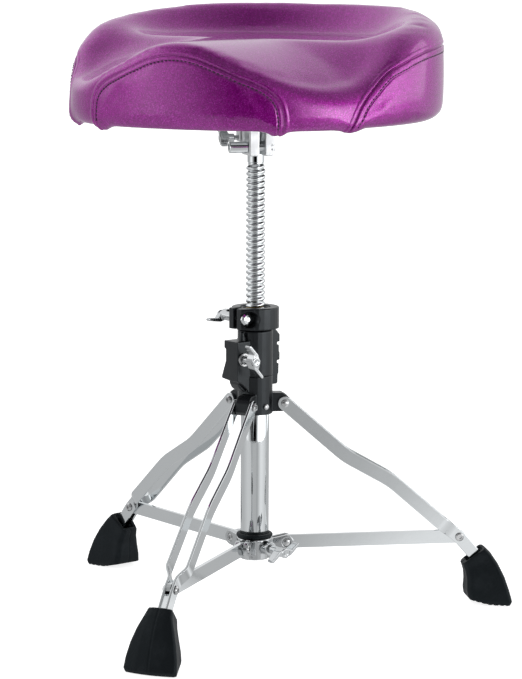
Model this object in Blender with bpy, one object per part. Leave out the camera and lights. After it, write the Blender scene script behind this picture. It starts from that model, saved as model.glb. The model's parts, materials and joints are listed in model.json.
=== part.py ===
"""Drum throne: a saddle seat on a threaded height rod, over a folding tripod with double-bar legs.

Metres, +Z up, floor at z = 0. The seat's horn and the front leg point to -Y.
Shapes are drawn round the throne's own vertical axis, and the root empty then moves that axis to AXIS_Y,
which puts the origin at the bottom centre of the whole object.
"""

from math import cos, hypot, pi, radians, sin

import bmesh
import bpy
from mathutils import Matrix, Vector

# ---------------------------------------------------------------- driving dimensions (metres)
AXIS_Y = 0.0470  # the vertical axis, seen from the origin
GAP = 0.0003  # clearance between pieces that touch
SIDES = 24  # sides of a large round piece
SMALL_SIDES = 12  # sides of a bolt or a hole

TUBE_R = 0.0159
TUBE_WALL = 0.0018
TUBE_BOTTOM = 0.0590
TUBE_TOP = 0.2990

ROD_R = 0.0107
ROD_NECK_R = 0.0094
ROD_BOTTOM = 0.2250
ROD_SHOULDER = 0.5060
ROD_TOP = 0.5440

LEG_AZIMUTHS = {"front": 0.0, "right": 120.0, "left": 240.0}
HUB_PIVOT = (0.0320, 0.2358)  # radius and height of a leg's upper pivot
STAY_LEG_PIVOT = (0.2340, 0.0767)
STAY_SPIDER_PIVOT = (0.0353, 0.0767)
HUB_BOTTOM = 0.2240
HUB_TOP = 0.2672
HUB_R = 0.0196
HUB_SCREW_Z = 0.2334

# A leg bar's bends as (radius, height): pivot, bend, bend, start of the pinch, stay's pivot, end in the boot.
BAR_BENDS = (HUB_PIVOT, (0.1016, 0.1746), (0.1535, 0.1452), (0.2120, 0.0940), STAY_LEG_PIVOT, (0.2690, 0.0355))
BAR_WIDTH = 0.0155
BAR_THICK = 0.0030
BAR_TOP_W = 0.0100  # a bar's mid-plane, sideways from the leg's plane
BAR_LOW_W = 0.0114
BAR_PINCH_W = 0.0042
PINCH_LENGTH = 0.0110
STAY_WIDTH = 0.0150
STAY_THICK = 0.0046
PIVOT_BOLT_R = 0.0030
PIVOT_HEAD_R = 0.0045

SPIDER_BOTTOM = 0.0600
SPIDER_TOP = 0.0832
SPIDER_R = 0.0203
SPIDER_EAR_IN = STAY_THICK / 2 + GAP
SPIDER_EAR_OUT = SPIDER_EAR_IN + 0.0052
STAY_BOLT_HEAD_R = 0.0046
STAY_BOLT_RECESS = 0.0019  # how deep the stay bolts' heads lie in the ears
WING_Z = 0.0740  # the spider's wing bolt

BOLT_AZIMUTH = 60.0  # where the wing bolts of the base point
EAR_AZIMUTH = BOLT_AZIMUTH - 90.0  # where the clamp's block and the collar's ears point
COLLAR_BOTTOM = 0.3200
COLLAR_TOP = 0.3440
COLLAR_R = 0.0265
COLLAR_BOLT_Y = -0.0212
CLAMP_R = 0.0198
CLAMP_NECK_R = 0.0165
CLAMP_BOLT = (0.0250, 0.2875)  # distance from the axis, and height
NUT_R = 0.0140

SEAT_TURN = -3.5  # degrees, how far the seat is screwed round from the front leg
BRACKET_TURN = 39.0  # degrees, the seat clamp's slit, seen from the seat's horn
SEAT_BOTTOM = 0.5505
SEAT_CENTRE_Z = 0.6320
SEAT_R = 0.2057
BOARD_R = 0.1780
BOARD_THICK = 0.0120
COVER_BOTTOM = SEAT_BOTTOM + GAP  # the dust cover lies in the recess, under the board
COVER_THICK = 0.0010
BOARD_BOTTOM = COVER_BOTTOM + COVER_THICK + GAP
FLANGE_SIDE = 0.0960
FLANGE_BOTTOM = 0.5460
FLANGE_TOP = 0.5505
BRACKET_BOTTOM = 0.5120
CLAMP_SLEEVE = (-0.0220, 0.5215)  # the seat clamp's bolt: its place across the ears, and height
SEAT_WING = (0.0055, 0.5302)  # the wing bolt that bears on the rod
SEAT_BOLT_OFFSET = 0.0360  # from the axis along the flange's two sides

# Seat edge, by angle from the horn in degrees: crest height, and how far the edge falls in rounding over.
SEAT_CREST = (
    (0, 0.6345), (12, 0.6270), (24, 0.6110), (36, 0.6000), (48, 0.5965), (58, 0.6010), (70, 0.6230),
    (84, 0.6500), (100, 0.6590), (118, 0.6655), (136, 0.6700), (158, 0.6720), (180, 0.6720),
)
SEAT_DROP = ((0, 0.0120), (30, 0.0130), (60, 0.0180), (90, 0.0250), (120, 0.0280), (180, 0.0260))
SEAT_INSET = ((0, 0.0160), (30, 0.0180), (60, 0.0240), (90, 0.0320), (120, 0.0340), (180, 0.0320))
SEAT_POWER = ((0, 2.6), (30, 2.4), (60, 2.3), (90, 3.2), (130, 3.6), (180, 3.6))
SEAT_RADIUS = ((0, 0.1960), (45, 0.2050), (90, SEAT_R), (135, SEAT_R), (180, 0.2010))

COLOURS = {  # base colour, roughness, metallic
    "vinyl": ((0.235, 0.020, 0.215), 0.30, 0.1),
    "board": ((0.450, 0.300, 0.160), 0.70, 0.0),
    "cloth": ((0.020, 0.020, 0.022), 0.90, 0.0),
    "chrome": ((0.800, 0.810, 0.820), 0.12, 1.0),
    "steel": ((0.560, 0.570, 0.580), 0.30, 1.0),
    "zinc": ((0.620, 0.630, 0.630), 0.25, 1.0),
    "black_metal": ((0.018, 0.019, 0.022), 0.40, 0.3),
    "nylon": ((0.030, 0.030, 0.032), 0.50, 0.0),
    "brass": ((0.680, 0.500, 0.220), 0.30, 1.0),
    "rubber": ((0.014, 0.014, 0.015), 0.80, 0.0),
}


# ---------------------------------------------------------------- scene and materials
def clear_scene():
    for obj in list(bpy.data.objects):
        bpy.data.objects.remove(obj, do_unlink=True)


def material(name):
    found = bpy.data.materials.get(name)
    if found:
        return found
    colour, roughness, metallic = COLOURS[name]
    made = bpy.data.materials.new(name)
    made.use_nodes = True
    shader = made.node_tree.nodes["Principled BSDF"]
    shader.inputs["Base Color"].default_value = (*colour, 1.0)
    shader.inputs["Roughness"].default_value = roughness
    shader.inputs["Metallic"].default_value = metallic
    return made


def empty(name, parent=None, location=(0, 0, 0), turn=0.0):
    obj = bpy.data.objects.new(name, None)
    bpy.context.scene.collection.objects.link(obj)
    obj.parent = parent
    obj.location = location
    obj.rotation_euler = (0, 0, radians(turn))
    return obj


def node(name, mesh, finish, parent, location=(0, 0, 0), rotation=(0, 0, 0)):
    """One named sub-part with its own material, placed under its parent."""
    obj = bpy.data.objects.new(name, mesh)
    bpy.context.scene.collection.objects.link(obj)
    if not mesh.materials:
        mesh.materials.append(material(finish))
    obj.parent = parent
    obj.location = location
    obj.rotation_euler = rotation
    return obj


def parent_point(matrix):
    return tuple(matrix.to_translation())


# ---------------------------------------------------------------- mesh tools
def mesh_from(name, points, faces):
    """A closed mesh with its faces pointing out, smooth except at its sharp edges."""
    shape = bmesh.new()
    corners = [shape.verts.new(p) for p in points]
    for face in faces:
        shape.faces.new([corners[i] for i in face])
    bmesh.ops.recalc_face_normals(shape, faces=shape.faces)
    made = bpy.data.meshes.new(name)
    shape.to_mesh(made)
    shape.free()
    made.shade_smooth()
    made.set_sharp_from_angle(angle=radians(35))
    return made


def rings_mesh(name, rings, closed_loop=False):
    """Skins a list of rings with the same number of points. The end rings are capped, or joined in a loop."""
    count = len(rings[0])
    points = [p for ring in rings for p in ring]
    faces = []
    spans = len(rings) if closed_loop else len(rings) - 1
    for k in range(spans):
        a, b = k * count, (k + 1) % len(rings) * count
        for i in range(count):
            j = (i + 1) % count
            faces.append((a + i, a + j, b + j, b + i))
    if not closed_loop:
        faces.append(tuple(range(count)))
        faces.append(tuple((len(rings) - 1) * count + i for i in range(count)))
    return mesh_from(name, points, faces)


def circle(radius, height, sides):
    return [
        (radius * cos(2 * pi * i / sides), radius * sin(2 * pi * i / sides), height) for i in range(sides)
    ]


def turned(name, profile, sides=SIDES):
    """A solid turned about Z from (radius, height) points along its outside."""
    return rings_mesh(name, [circle(r, z, sides) for r, z in profile])


def turned_ring(name, profile, sides=SIDES):
    """A ring turned about Z from a closed loop of (radius, height) points."""
    return rings_mesh(name, [circle(r, z, sides) for r, z in profile], closed_loop=True)


def tube_profile(inner, outer, bottom, top, edge=0.0004):
    return [
        (inner, bottom), (outer - edge, bottom), (outer, bottom + edge),
        (outer, top - edge), (outer - edge, top), (inner, top),
    ]


def prism(name, outline, low, high):
    """A closed outline of (x, y) points, extruded along Z."""
    rings = [[(x, y, low) for x, y in outline], [(x, y, high) for x, y in outline]]
    return rings_mesh(name, rings)


def upright_plate(name, outline, low, high):
    """A closed outline of (radius, height) points in the leg's plane, extruded sideways along X."""
    return rings_mesh(name, [[(w, -r, z) for r, z in outline] for w in (low, high)])


def arc(centre, radius, start, end, steps):
    """Points of an arc in degrees, both ends included."""
    found = []
    for k in range(steps + 1):
        a = radians(start + (end - start) * k / steps)
        found.append((centre[0] + radius * cos(a), centre[1] + radius * sin(a)))
    return found


def rounded_box(x_low, x_high, y_low, y_high, radius, steps=3):
    """A rectangle's outline with rounded corners."""
    corners = (
        ((x_high - radius, y_low + radius), -90), ((x_high - radius, y_high - radius), 0),
        ((x_low + radius, y_high - radius), 90), ((x_low + radius, y_low + radius), 180),
    )
    found = []
    for centre, start in corners:
        found += arc(centre, radius, start, start + 90, steps)
    return found


def placed(mesh, matrix):
    """A transformed copy of a mesh."""
    made = mesh.copy()
    made.transform(matrix)
    return made


def along_x(mesh, x, y, z):
    """A mesh modelled along Z, laid along +X with its foot at the point."""
    return placed(mesh, Matrix.Translation((x, y, z)) @ Matrix.Rotation(pi / 2, 4, "Y"))


def combined(name, base, cuts=(), joins=()):
    """The base mesh with others joined to it, and then others cut from it. It works in millimetres."""
    tools = []
    for mesh in (base, *joins, *cuts):
        tool = bpy.data.objects.new(name + "_tool", placed(mesh, Matrix.Scale(1000, 4)))
        shape = bmesh.new()
        shape.from_mesh(tool.data)
        bmesh.ops.triangulate(shape, faces=shape.faces)
        shape.to_mesh(tool.data)
        shape.free()
        bpy.context.scene.collection.objects.link(tool)
        tools.append(tool)
    for index, tool in enumerate(tools[1:]):
        modifier = tools[0].modifiers.new("tool", "BOOLEAN")
        modifier.operation = "UNION" if index < len(joins) else "DIFFERENCE"
        modifier.solver = "EXACT"
        modifier.object = tool
    bpy.context.view_layer.update()
    graph = bpy.context.evaluated_depsgraph_get()
    made = bpy.data.meshes.new_from_object(tools[0].evaluated_get(graph))
    made.name = name
    made.materials.clear()
    for tool in tools:
        bpy.data.objects.remove(tool, do_unlink=True)
    shape = bmesh.new()
    shape.from_mesh(made)
    bmesh.ops.remove_doubles(shape, verts=shape.verts, dist=0.001)
    shape.to_mesh(made)
    shape.free()
    made.transform(Matrix.Scale(0.001, 4))
    made.shade_smooth()
    made.set_sharp_from_angle(angle=radians(35))
    return made


def cylinder(radius, low, high, sides=SMALL_SIDES):
    return turned("cylinder", [(radius, low), (radius, high)], sides)


# ---------------------------------------------------------------- fasteners
def pan_bolt(name, shank_r, shank_length, head_r, head_height):
    """A screw or bolt along +Z: the shank's end is at z = 0 and the domed head at its far end."""
    edge = head_height * 0.45
    profile = [
        (shank_r * 0.8, 0), (shank_r, shank_r * 0.3), (shank_r, shank_length), (head_r, shank_length),
        (head_r, shank_length + edge), (head_r * 0.72, shank_length + head_height * 0.86),
        (head_r * 0.35, shank_length + head_height),
    ]
    return turned(name, profile, SMALL_SIDES)


def tail_of(radius):
    """The clenched far end of a pivot bolt."""
    outline = [(radius, -0.0018), (radius, 0), (PIVOT_BOLT_R, 0), (PIVOT_BOLT_R, 0.003)]
    return turned("tail", outline, SMALL_SIDES)


def wing_blade(reach, depth, top):
    """One forged blade along +X, seen along the screw as a plate that leaves the hub off its centre.

    Its far end is shallower than its root.
    """
    outline = [
        (0.0008, -0.0050), (0.0062, -0.0058), (reach - 0.0014, -0.0018), (reach, -0.0006),
        (reach - 0.0002, 0.0008), (reach - 0.0016, 0.0016), (0.0088, -0.0010), (0.0048, 0.0030), (0.0, 0.0030),
    ]
    upper = [(x, y, top) for x, y in outline]
    lower = [(x, y, top - depth * (1 - 0.40 * x / reach)) for x, y in outline]
    return rings_mesh("blade", [lower, upper])


def wing_nut(name, hub_r, hub_length, reach=0.0208, depth=0.0135, stem_r=0.0, stem_length=0.0):
    """A wing nut or wing bolt along +Z: a hub with a dimpled boss at its far end, and two leaning blades."""
    boss_r = hub_r + 0.0007
    base = turned(
        "hub",
        [
            (hub_r - 0.0003, 0), (hub_r, 0.0006), (hub_r, hub_length - 0.0034), (boss_r, hub_length - 0.0026),
            (boss_r, hub_length - 0.0006), (boss_r - 0.0006, hub_length), (0.0030, hub_length),
            (0.0019, hub_length - 0.0013),
        ],
        16,
    )
    blade = wing_blade(reach, depth, hub_length - 0.0005)
    joins = [blade, placed(blade, Matrix.Rotation(pi, 4, "Z"))]
    if stem_length:
        joins.append(cylinder(stem_r, -stem_length, hub_length * 0.4))
    return combined(name, base, joins=joins)


# ---------------------------------------------------------------- seat
def between(table, angle):
    """A value read off a table of (degrees from the horn, value), the same on both sides, eased at its points."""
    a = abs((angle + 180) % 360 - 180)
    for (a0, v0), (a1, v1) in zip(table, table[1:]):
        if a <= a1:
            t = (a - a0) / (a1 - a0)
            before = table[max(0, table.index((a0, v0)) - 1)]
            after = table[min(len(table) - 1, table.index((a1, v1)) + 1)]
            slope0 = 0 if a0 == 0 else (v1 - before[1]) / (a1 - before[0])
            slope1 = 0 if a1 == 180 else (after[1] - v0) / (after[0] - a0)
            span = a1 - a0
            return (
                v0 * (1 + 2 * t) * (1 - t) ** 2 + slope0 * span * t * (1 - t) ** 2
                + v1 * t * t * (3 - 2 * t) - slope1 * span * t * t * (1 - t)
            )
    return table[-1][1]


def seat_ring(share, count=48):
    """One ring of the seat's top, from 0 at the middle to 1 at the crest."""
    ring = []
    for i in range(count):
        angle = 360 * i / count
        crest = between(SEAT_CREST, angle)
        reach = between(SEAT_RADIUS, angle) - between(SEAT_INSET, angle)
        height = SEAT_CENTRE_Z + (crest - SEAT_CENTRE_Z) * share ** between(SEAT_POWER, angle)
        a = radians(angle)
        ring.append((reach * share * sin(a), -reach * share * cos(a), height))
    return ring


def edge_ring(outward, down, floor_share=0.0, tuck=0.0, count=48):
    """A ring outside the crest. outward and down run from 0 to 1 over the rounded edge, floor_share down the wall."""
    ring = []
    for i in range(count):
        angle = 360 * i / count
        radius = between(SEAT_RADIUS, angle)
        inset = between(SEAT_INSET, angle)
        edge = between(SEAT_CREST, angle) - between(SEAT_DROP, angle) * down
        height = edge + (SEAT_BOTTOM - edge) * floor_share
        a = radians(angle)
        r = radius - inset * (1 - outward) - tuck
        ring.append((r * sin(a), -r * cos(a), height))
    return ring


def seat_cushion_mesh():
    """Foam and cover as one body: saddle top, rounded edge, wall, and a recess below for the board."""
    hollow = BOARD_R + GAP
    recess_top = BOARD_BOTTOM + BOARD_THICK + GAP
    rings = [circle_like(hollow, recess_top), circle_like(hollow, SEAT_BOTTOM)]
    rings.append(edge_ring(1, 1, 1.0, tuck=0.0140))
    rings.append(edge_ring(1, 1, 0.94, tuck=0.0040))
    rings.append(edge_ring(1, 1, 0.80))
    rings.append(edge_ring(1, 1, 0.0))
    for step in (60, 30):
        rings.append(edge_ring(cos(radians(90 - step)), 1 - cos(radians(step))))
    rings += [seat_ring(share) for share in (1.0, 0.88, 0.72, 0.5, 0.25, 0.06)]
    return rings_mesh("seat_cushion", rings)


def circle_like(radius, height, count=48):
    """A circle whose points run the same way round as the seat's rings."""
    return [
        (radius * sin(2 * pi * i / count), -radius * cos(2 * pi * i / count), height) for i in range(count)
    ]


def seat_bolt_places():
    turn = radians(BRACKET_TURN)
    for x, y in ((1, 1), (-1, 1), (-1, -1), (1, -1)):
        px, py = x * SEAT_BOLT_OFFSET, y * SEAT_BOLT_OFFSET
        yield px * cos(turn) - py * sin(turn), px * sin(turn) + py * cos(turn)


def bolt_holes(radius, low, high):
    return [
        placed(cylinder(radius, low, high), Matrix.Translation((x, y, 0))) for x, y in seat_bolt_places()
    ]


def seat_bracket_mesh():
    """The cast seat clamp: a flange, a barrel round the rod's top, two ears with a slit, and a side boss."""
    turn = Matrix.Rotation(radians(BRACKET_TURN), 4, "Z")
    half = FLANGE_SIDE / 2
    flange = prism("flange", rounded_box(-half, half, -half, half, 0.0140), FLANGE_BOTTOM, FLANGE_TOP)
    barrel = turned(
        "barrel", [(0.0144, BRACKET_BOTTOM), (0.0160, BRACKET_BOTTOM + 0.0016), (0.0168, 0.5475)], SIDES
    )
    low = BRACKET_BOTTOM
    ear_side = [
        (-0.0147, 0.5470), (-0.0147, low + 0.0020), *arc((-0.0127, low + 0.0020), 0.0020, 180, 270, 3),
        *arc((0.0097, low + 0.0050), 0.0050, -90, 0, 4), (0.0147, 0.5470),
    ]
    ears = rings_mesh("ears", [[(x, y, z) for x, z in ear_side] for y in (-0.0300, 0.0)])
    boss = prism("boss", rounded_box(-0.0197, 0.0, -0.0040, 0.0130, 0.0020), 0.5264, 0.5470)
    bore = cylinder(ROD_NECK_R + GAP, 0.5, ROD_TOP + GAP, SIDES)
    slit = prism("slit", [(-0.0034, -0.04), (0.0034, -0.04), (0.0034, 0.0), (-0.0034, 0.0)], 0.5, 0.5440)
    clamp_hole = along_x(cylinder(0.0043, -0.05, 0.05), 0, *CLAMP_SLEEVE)
    nut_seat = along_x(cylinder(0.0080, 0.0088, 0.05, 20), 0, *CLAMP_SLEEVE)
    wing_hole = along_x(cylinder(0.0030, -0.05, 0.0), 0, *SEAT_WING)
    shapes = [placed(m, turn) for m in (barrel, ears, boss)]
    cuts = [placed(m, turn) for m in (slit, clamp_hole, nut_seat, wing_hole)]
    return combined(
        "seat_bracket", placed(flange, turn), joins=shapes, cuts=[bore, *cuts, *bolt_holes(0.0034, 0.54, 0.56)]
    )


def make_seat(parent, lift):
    """Everything that lifts off the rod's top. lift is its empty, on the rod's axis."""
    node("seat_cushion", seat_cushion_mesh(), "vinyl", lift)
    board = turned("board", [(BOARD_R, BOARD_BOTTOM), (BOARD_R, BOARD_BOTTOM + BOARD_THICK)], 48)
    holes = bolt_holes(0.0044, BOARD_BOTTOM - 0.01, BOARD_BOTTOM + 0.05)
    node("seat_board", combined("seat_board", board, cuts=holes), "board", lift)
    cloth = turned("cloth", [(BOARD_R, COVER_BOTTOM), (BOARD_R, COVER_BOTTOM + COVER_THICK)], 48)
    node("seat_dust_cover", combined("dust_cover", cloth, cuts=bolt_holes(0.0044, 0.54, 0.56)), "cloth", lift)
    node("seat_bracket", seat_bracket_mesh(), "zinc", lift)
    bolt_length = 0.0170
    bolt = pan_bolt("seat_bolt", 0.0030, bolt_length, 0.0058, 0.0034)
    nut_low = BOARD_BOTTOM + 0.0030
    nut_high = BOARD_BOTTOM + BOARD_THICK - 0.0005
    nut = turned_ring(
        "tee_nut", [(0.0033, nut_low), (0.0040, nut_low), (0.0040, nut_high), (0.0033, nut_high)], SMALL_SIDES
    )
    head_z = FLANGE_BOTTOM - GAP
    for index, (x, y) in enumerate(seat_bolt_places(), 1):
        node(f"seat_bolt_{index}", bolt, "steel", lift, (x, y, head_z + bolt_length), (pi, 0, 0))
        node(f"seat_tee_nut_{index}", nut, "brass", lift, (x, y, 0))
    turn = Matrix.Rotation(radians(BRACKET_TURN), 4, "Z")
    inside = Matrix.Rotation(-pi / 2, 4, "Y")
    sleeve = combined(
        "seat_clamp_bolt",
        turned(
            "sleeve",
            [
                (0.0057, 0.0150), (0.0063, 0.0156), (0.0063, 0.0348), (0.0056, 0.0355),
                (0.0030, 0.0355), (0.0030, 0.0335),
            ],
            SIDES,
        ),
        joins=[cylinder(0.0040, -0.0140, 0.0170)],
    )
    place = turn @ Matrix.Translation((0, *CLAMP_SLEEVE)) @ inside
    node("seat_clamp_bolt", placed(sleeve, place), "chrome", lift)
    nut_flat = turned_ring(
        "nut", [(0.0050, 0.0), (0.0075, 0.0), (0.0075, 0.0055), (0.0050, 0.0055)], 6
    )
    place = turn @ Matrix.Translation((0.0091, *CLAMP_SLEEVE)) @ Matrix.Rotation(pi / 2, 4, "Y")
    node("seat_clamp_nut", placed(nut_flat, place), "zinc", lift)
    wing = wing_nut(
        "seat_wing_bolt", 0.0046, 0.0165, reach=0.0150, depth=0.0100, stem_r=0.0027, stem_length=0.0125
    )
    place = turn @ Matrix.Translation((-0.0235, *SEAT_WING))
    node(
        "seat_wing_bolt", wing, "chrome", lift, parent_point(place),
        (turn @ inside @ Matrix.Rotation(radians(57), 4, "Z")).to_euler(),
    )


# ---------------------------------------------------------------- rod, collar and clamp
def make_rod(turn_empty, guide_empty):
    rod = turned(
        "height_rod",
        [
            (ROD_R - 0.0015, ROD_BOTTOM), (ROD_R, ROD_BOTTOM + 0.0015), (ROD_R, ROD_SHOULDER - 0.0015),
            (ROD_NECK_R, ROD_SHOULDER), (ROD_NECK_R, ROD_TOP - 0.0012), (ROD_NECK_R - 0.0012, ROD_TOP),
        ],
    )
    node("height_rod", rod, "chrome", turn_empty)
    cup = turned(
        "rod_guide",
        [
            (0.0106, ROD_BOTTOM - 0.0040), (0.0134, ROD_BOTTOM - 0.0040), (0.0138, ROD_BOTTOM - 0.0030),
            (0.0138, ROD_BOTTOM + 0.0150), (ROD_R + GAP, ROD_BOTTOM + 0.0150), (ROD_R + GAP, ROD_BOTTOM - GAP),
        ],
    )
    node("rod_guide", cup, "nylon", guide_empty)


def make_collar(base):
    """Split collar with a cross bolt, which squeezes the clamp's neck on the rod's thread."""
    turn = Matrix.Rotation(radians(EAR_AZIMUTH), 4, "Z")
    ring = turned(
        "collar", [(COLLAR_R, COLLAR_BOTTOM), (COLLAR_R, COLLAR_TOP - 0.0008), (COLLAR_R - 0.0008, COLLAR_TOP)]
    )
    outline = [(-0.0112, 0.0), (-0.0112, -0.0280), (-0.0106, -0.0286), (0.0106, -0.0286), (0.0114, -0.0280),
               (0.0202, -0.0172), (0.0202, 0.0)]
    ears = prism("ears", outline, COLLAR_BOTTOM + 0.0004, COLLAR_TOP - 0.0004)
    hole_z = (COLLAR_BOTTOM + COLLAR_TOP) / 2
    bore = cylinder(CLAMP_NECK_R + GAP, 0.3, 0.4, SIDES)
    slit = prism("slit", [(-0.0032, -0.04), (0.0030, -0.04), (0.0030, 0.0), (-0.0032, 0.0)], 0.3, 0.4)
    cross = along_x(cylinder(0.0033, -0.05, 0.05), 0, COLLAR_BOLT_Y, hole_z)
    seat = along_x(cylinder(0.0090, 0.0095, 0.05, 24), 0, COLLAR_BOLT_Y, hole_z)
    nut_seat = along_x(cylinder(0.0080, -0.05, -0.0112, 20), 0, COLLAR_BOLT_Y, hole_z)
    cuts = [bore, *(placed(m, turn) for m in (slit, cross, seat, nut_seat))]
    body = combined("lock_collar", ring, joins=[placed(ears, turn)], cuts=cuts)
    node("lock_collar", body, "black_metal", base)
    bolt = pan_bolt("collar_bolt", 0.0030, 0.0337, 0.0072, 0.0048)
    place = turn @ Matrix.Translation((-0.0239, COLLAR_BOLT_Y, hole_z))
    node(
        "collar_bolt", bolt, "chrome", base, parent_point(place),
        (turn @ Matrix.Rotation(pi / 2, 4, "Y")).to_euler(),
    )
    wing = combined(
        "collar_wing_nut",
        wing_nut("wing", 0.0052, 0.0245, depth=0.0084),
        cuts=[cylinder(0.0033, -0.001, 0.0138)],
    )
    place = turn @ Matrix.Translation((-0.0115, COLLAR_BOLT_Y, hole_z))
    node(
        "collar_wing_nut", wing, "chrome", base, parent_point(place),
        (turn @ Matrix.Rotation(-pi / 2, 4, "Y") @ Matrix.Rotation(radians(80), 4, "Z")).to_euler(),
    )


def clamp_shapes():
    """Solids that make up the clamp's casting, in its own turn: +X faces the wing bolt, -Y is the block's end."""
    block = rings_mesh(
        "block",
        [
            [
                (x, y, z)
                for x, z in (
                    (-0.0129, 0.3073), (-0.0129, 0.2988), (-0.0102, 0.2984), (-0.0102, 0.2847),
                    (-0.0176, 0.2660), (-0.0165, 0.2645), (0.0009, 0.2626), (0.0113, 0.2637), (0.0113, 0.3073),
                )
            ]
            for y in (-0.0336, 0.0)
        ],
    )
    plate_side = [  # distance from the axis and height
        (0.0336, 0.3073), (0.0336, 0.2637), (0.0262, 0.2589), (0.0199, 0.2533), (0.0176, 0.2493),
        (0.0130, 0.2493), (0.0130, 0.2662), (0.0098, 0.2734), (0.0092, 0.3073),
    ]
    web_side = [
        (0.0300, 0.2650), (0.0292, 0.2590), (0.0262, 0.2540), (0.0215, 0.2508), (0.0130, 0.2508), (0.0130, 0.2650)
    ]
    rib_side = [
        (0.0150, 0.3175), (0.0240, 0.3175), (0.0306, 0.3105), (0.0306, 0.3023), (0.0268, 0.3020),
        (0.0268, 0.2992), (0.0296, 0.2988), (0.0296, 0.2912), (0.0306, 0.2902), (0.0306, 0.2817),
        (0.0268, 0.2813), (0.0268, 0.2785), (0.0293, 0.2780), (0.0290, 0.2675), (0.0279, 0.2650),
        (0.0277, 0.2566), (0.0262, 0.2550), (0.0150, 0.2550),
    ]
    stud = placed(
        turned("stud", [(0.0039, 0.3060), (0.0039, 0.3080), (0.0022, 0.3176)], SMALL_SIDES),
        Matrix.Translation((0.0062, -0.0232, 0)),
    )
    around = Matrix.Rotation(pi, 4, "Z")
    return [
        block,
        upright_plate("plate", plate_side, 0.0075, 0.0113),
        upright_plate("web", web_side, -0.0085, 0.0070),
        placed(upright_plate("rib", rib_side, -0.0058, 0.0058), around),
        stud,
    ]


def make_clamp(base):
    """The black casting on top of the tube: column, neck, side block with a wing bolt, and a notched rib."""
    turn = Matrix.Rotation(radians(EAR_AZIMUTH), 4, "Z")
    column = turned(
        "column",
        [(CLAMP_R, HUB_TOP + GAP), (CLAMP_R, 0.3172), (CLAMP_R - 0.0012, 0.3184), (CLAMP_NECK_R, 0.3184),
         (CLAMP_NECK_R, COLLAR_TOP - 0.0012)],
    )
    hub_room = cylinder(HUB_R + GAP, 0.24, HUB_TOP + GAP, SIDES)
    tube_bore = cylinder(TUBE_R + GAP, 0.25, TUBE_TOP + GAP, SIDES)
    nut_bore = cylinder(NUT_R + GAP, 0.29, 0.36, SIDES)
    bolt_hole = along_x(cylinder(0.0037, -0.0050, 0.02), 0, -CLAMP_BOLT[0], CLAMP_BOLT[1])
    body = combined(
        "clamp_body", column, joins=[placed(m, turn) for m in clamp_shapes()],
        cuts=[hub_room, tube_bore, nut_bore, placed(bolt_hole, turn)],
    )
    node("clamp_body", body, "black_metal", base)
    nut = turned_ring("height_nut", tube_profile(ROD_R + GAP, NUT_R, TUBE_TOP + 2 * GAP, COLLAR_TOP - 0.0030))
    node("height_nut", nut, "brass", base)
    washer = turned_ring("washer", tube_profile(0.0052, 0.0076, 0.0, 0.0020), 20)
    face = turn @ Matrix.Translation((0.0116, -CLAMP_BOLT[0], CLAMP_BOLT[1]))
    lie = Matrix.Rotation(pi / 2, 4, "Y")
    node("clamp_washer", washer, "steel", base, parent_point(face), (turn @ lie).to_euler())
    wing = wing_nut("clamp_wing_bolt", 0.0048, 0.0222, stem_r=0.0034, stem_length=0.0160)
    place = turn @ Matrix.Translation((0.0126, -CLAMP_BOLT[0], CLAMP_BOLT[1]))
    node(
        "clamp_wing_bolt", wing, "chrome", base, parent_point(place),
        (turn @ lie @ Matrix.Rotation(radians(26), 4, "Z")).to_euler(),
    )


# ---------------------------------------------------------------- hub and tube
def make_hub(base):
    """Sleeve with three lugs on the tube's upper end, held by three screws between the lugs."""
    sleeve = turned(
        "sleeve", [(HUB_R - 0.0006, HUB_BOTTOM), (HUB_R, HUB_BOTTOM + 0.0006), (HUB_R, HUB_TOP)]
    )
    r, z = HUB_PIVOT
    lug = [
        (0.0150, z - 0.0095), (r + 0.0020, z - 0.0095), (r + 0.0068, z - 0.0050), (r + 0.0068, z + 0.0045),
        (r + 0.0034, z + 0.0080), (r - 0.0020, z + 0.0114), (0.0150, z + 0.0116),
    ]
    plate = upright_plate("lug", lug, -0.0081, 0.0081)
    hole = along_x(cylinder(PIVOT_BOLT_R + GAP, -0.02, 0.02), 0, -r, z)
    lugs, cuts = [], [cylinder(TUBE_R + GAP, 0.2, 0.3, SIDES)]
    screw = pan_bolt("hub_screw", 0.0020, 0.0036, 0.0033, 0.0024)
    for azimuth in LEG_AZIMUTHS.values():
        spin = Matrix.Rotation(radians(azimuth), 4, "Z")
        lugs.append(placed(plate, spin))
        cuts.append(placed(hole, spin))
    for name, azimuth in (("right", 60.0), ("back", 180.0), ("left", 300.0)):
        spin = Matrix.Rotation(radians(azimuth), 4, "Z")
        bore = placed(cylinder(0.0023, 0, 0.01), Matrix.Rotation(pi / 2, 4, "X"))
        cuts.append(placed(bore, spin @ Matrix.Translation((0, -0.0150, HUB_SCREW_Z))))
        place = spin @ Matrix.Translation((0, -0.0163, HUB_SCREW_Z))
        node(
            f"hub_screw_{name}", screw, "steel", base, parent_point(place),
            (spin @ Matrix.Rotation(pi / 2, 4, "X")).to_euler(),
        )
    body = combined("leg_hub", sleeve, joins=lugs, cuts=cuts)
    node("leg_hub", body, "black_metal", base)
    tube = turned_ring("base_tube", tube_profile(TUBE_R - TUBE_WALL, TUBE_R, TUBE_BOTTOM, TUBE_TOP), SIDES)
    node("base_tube", tube, "chrome", base)


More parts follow.
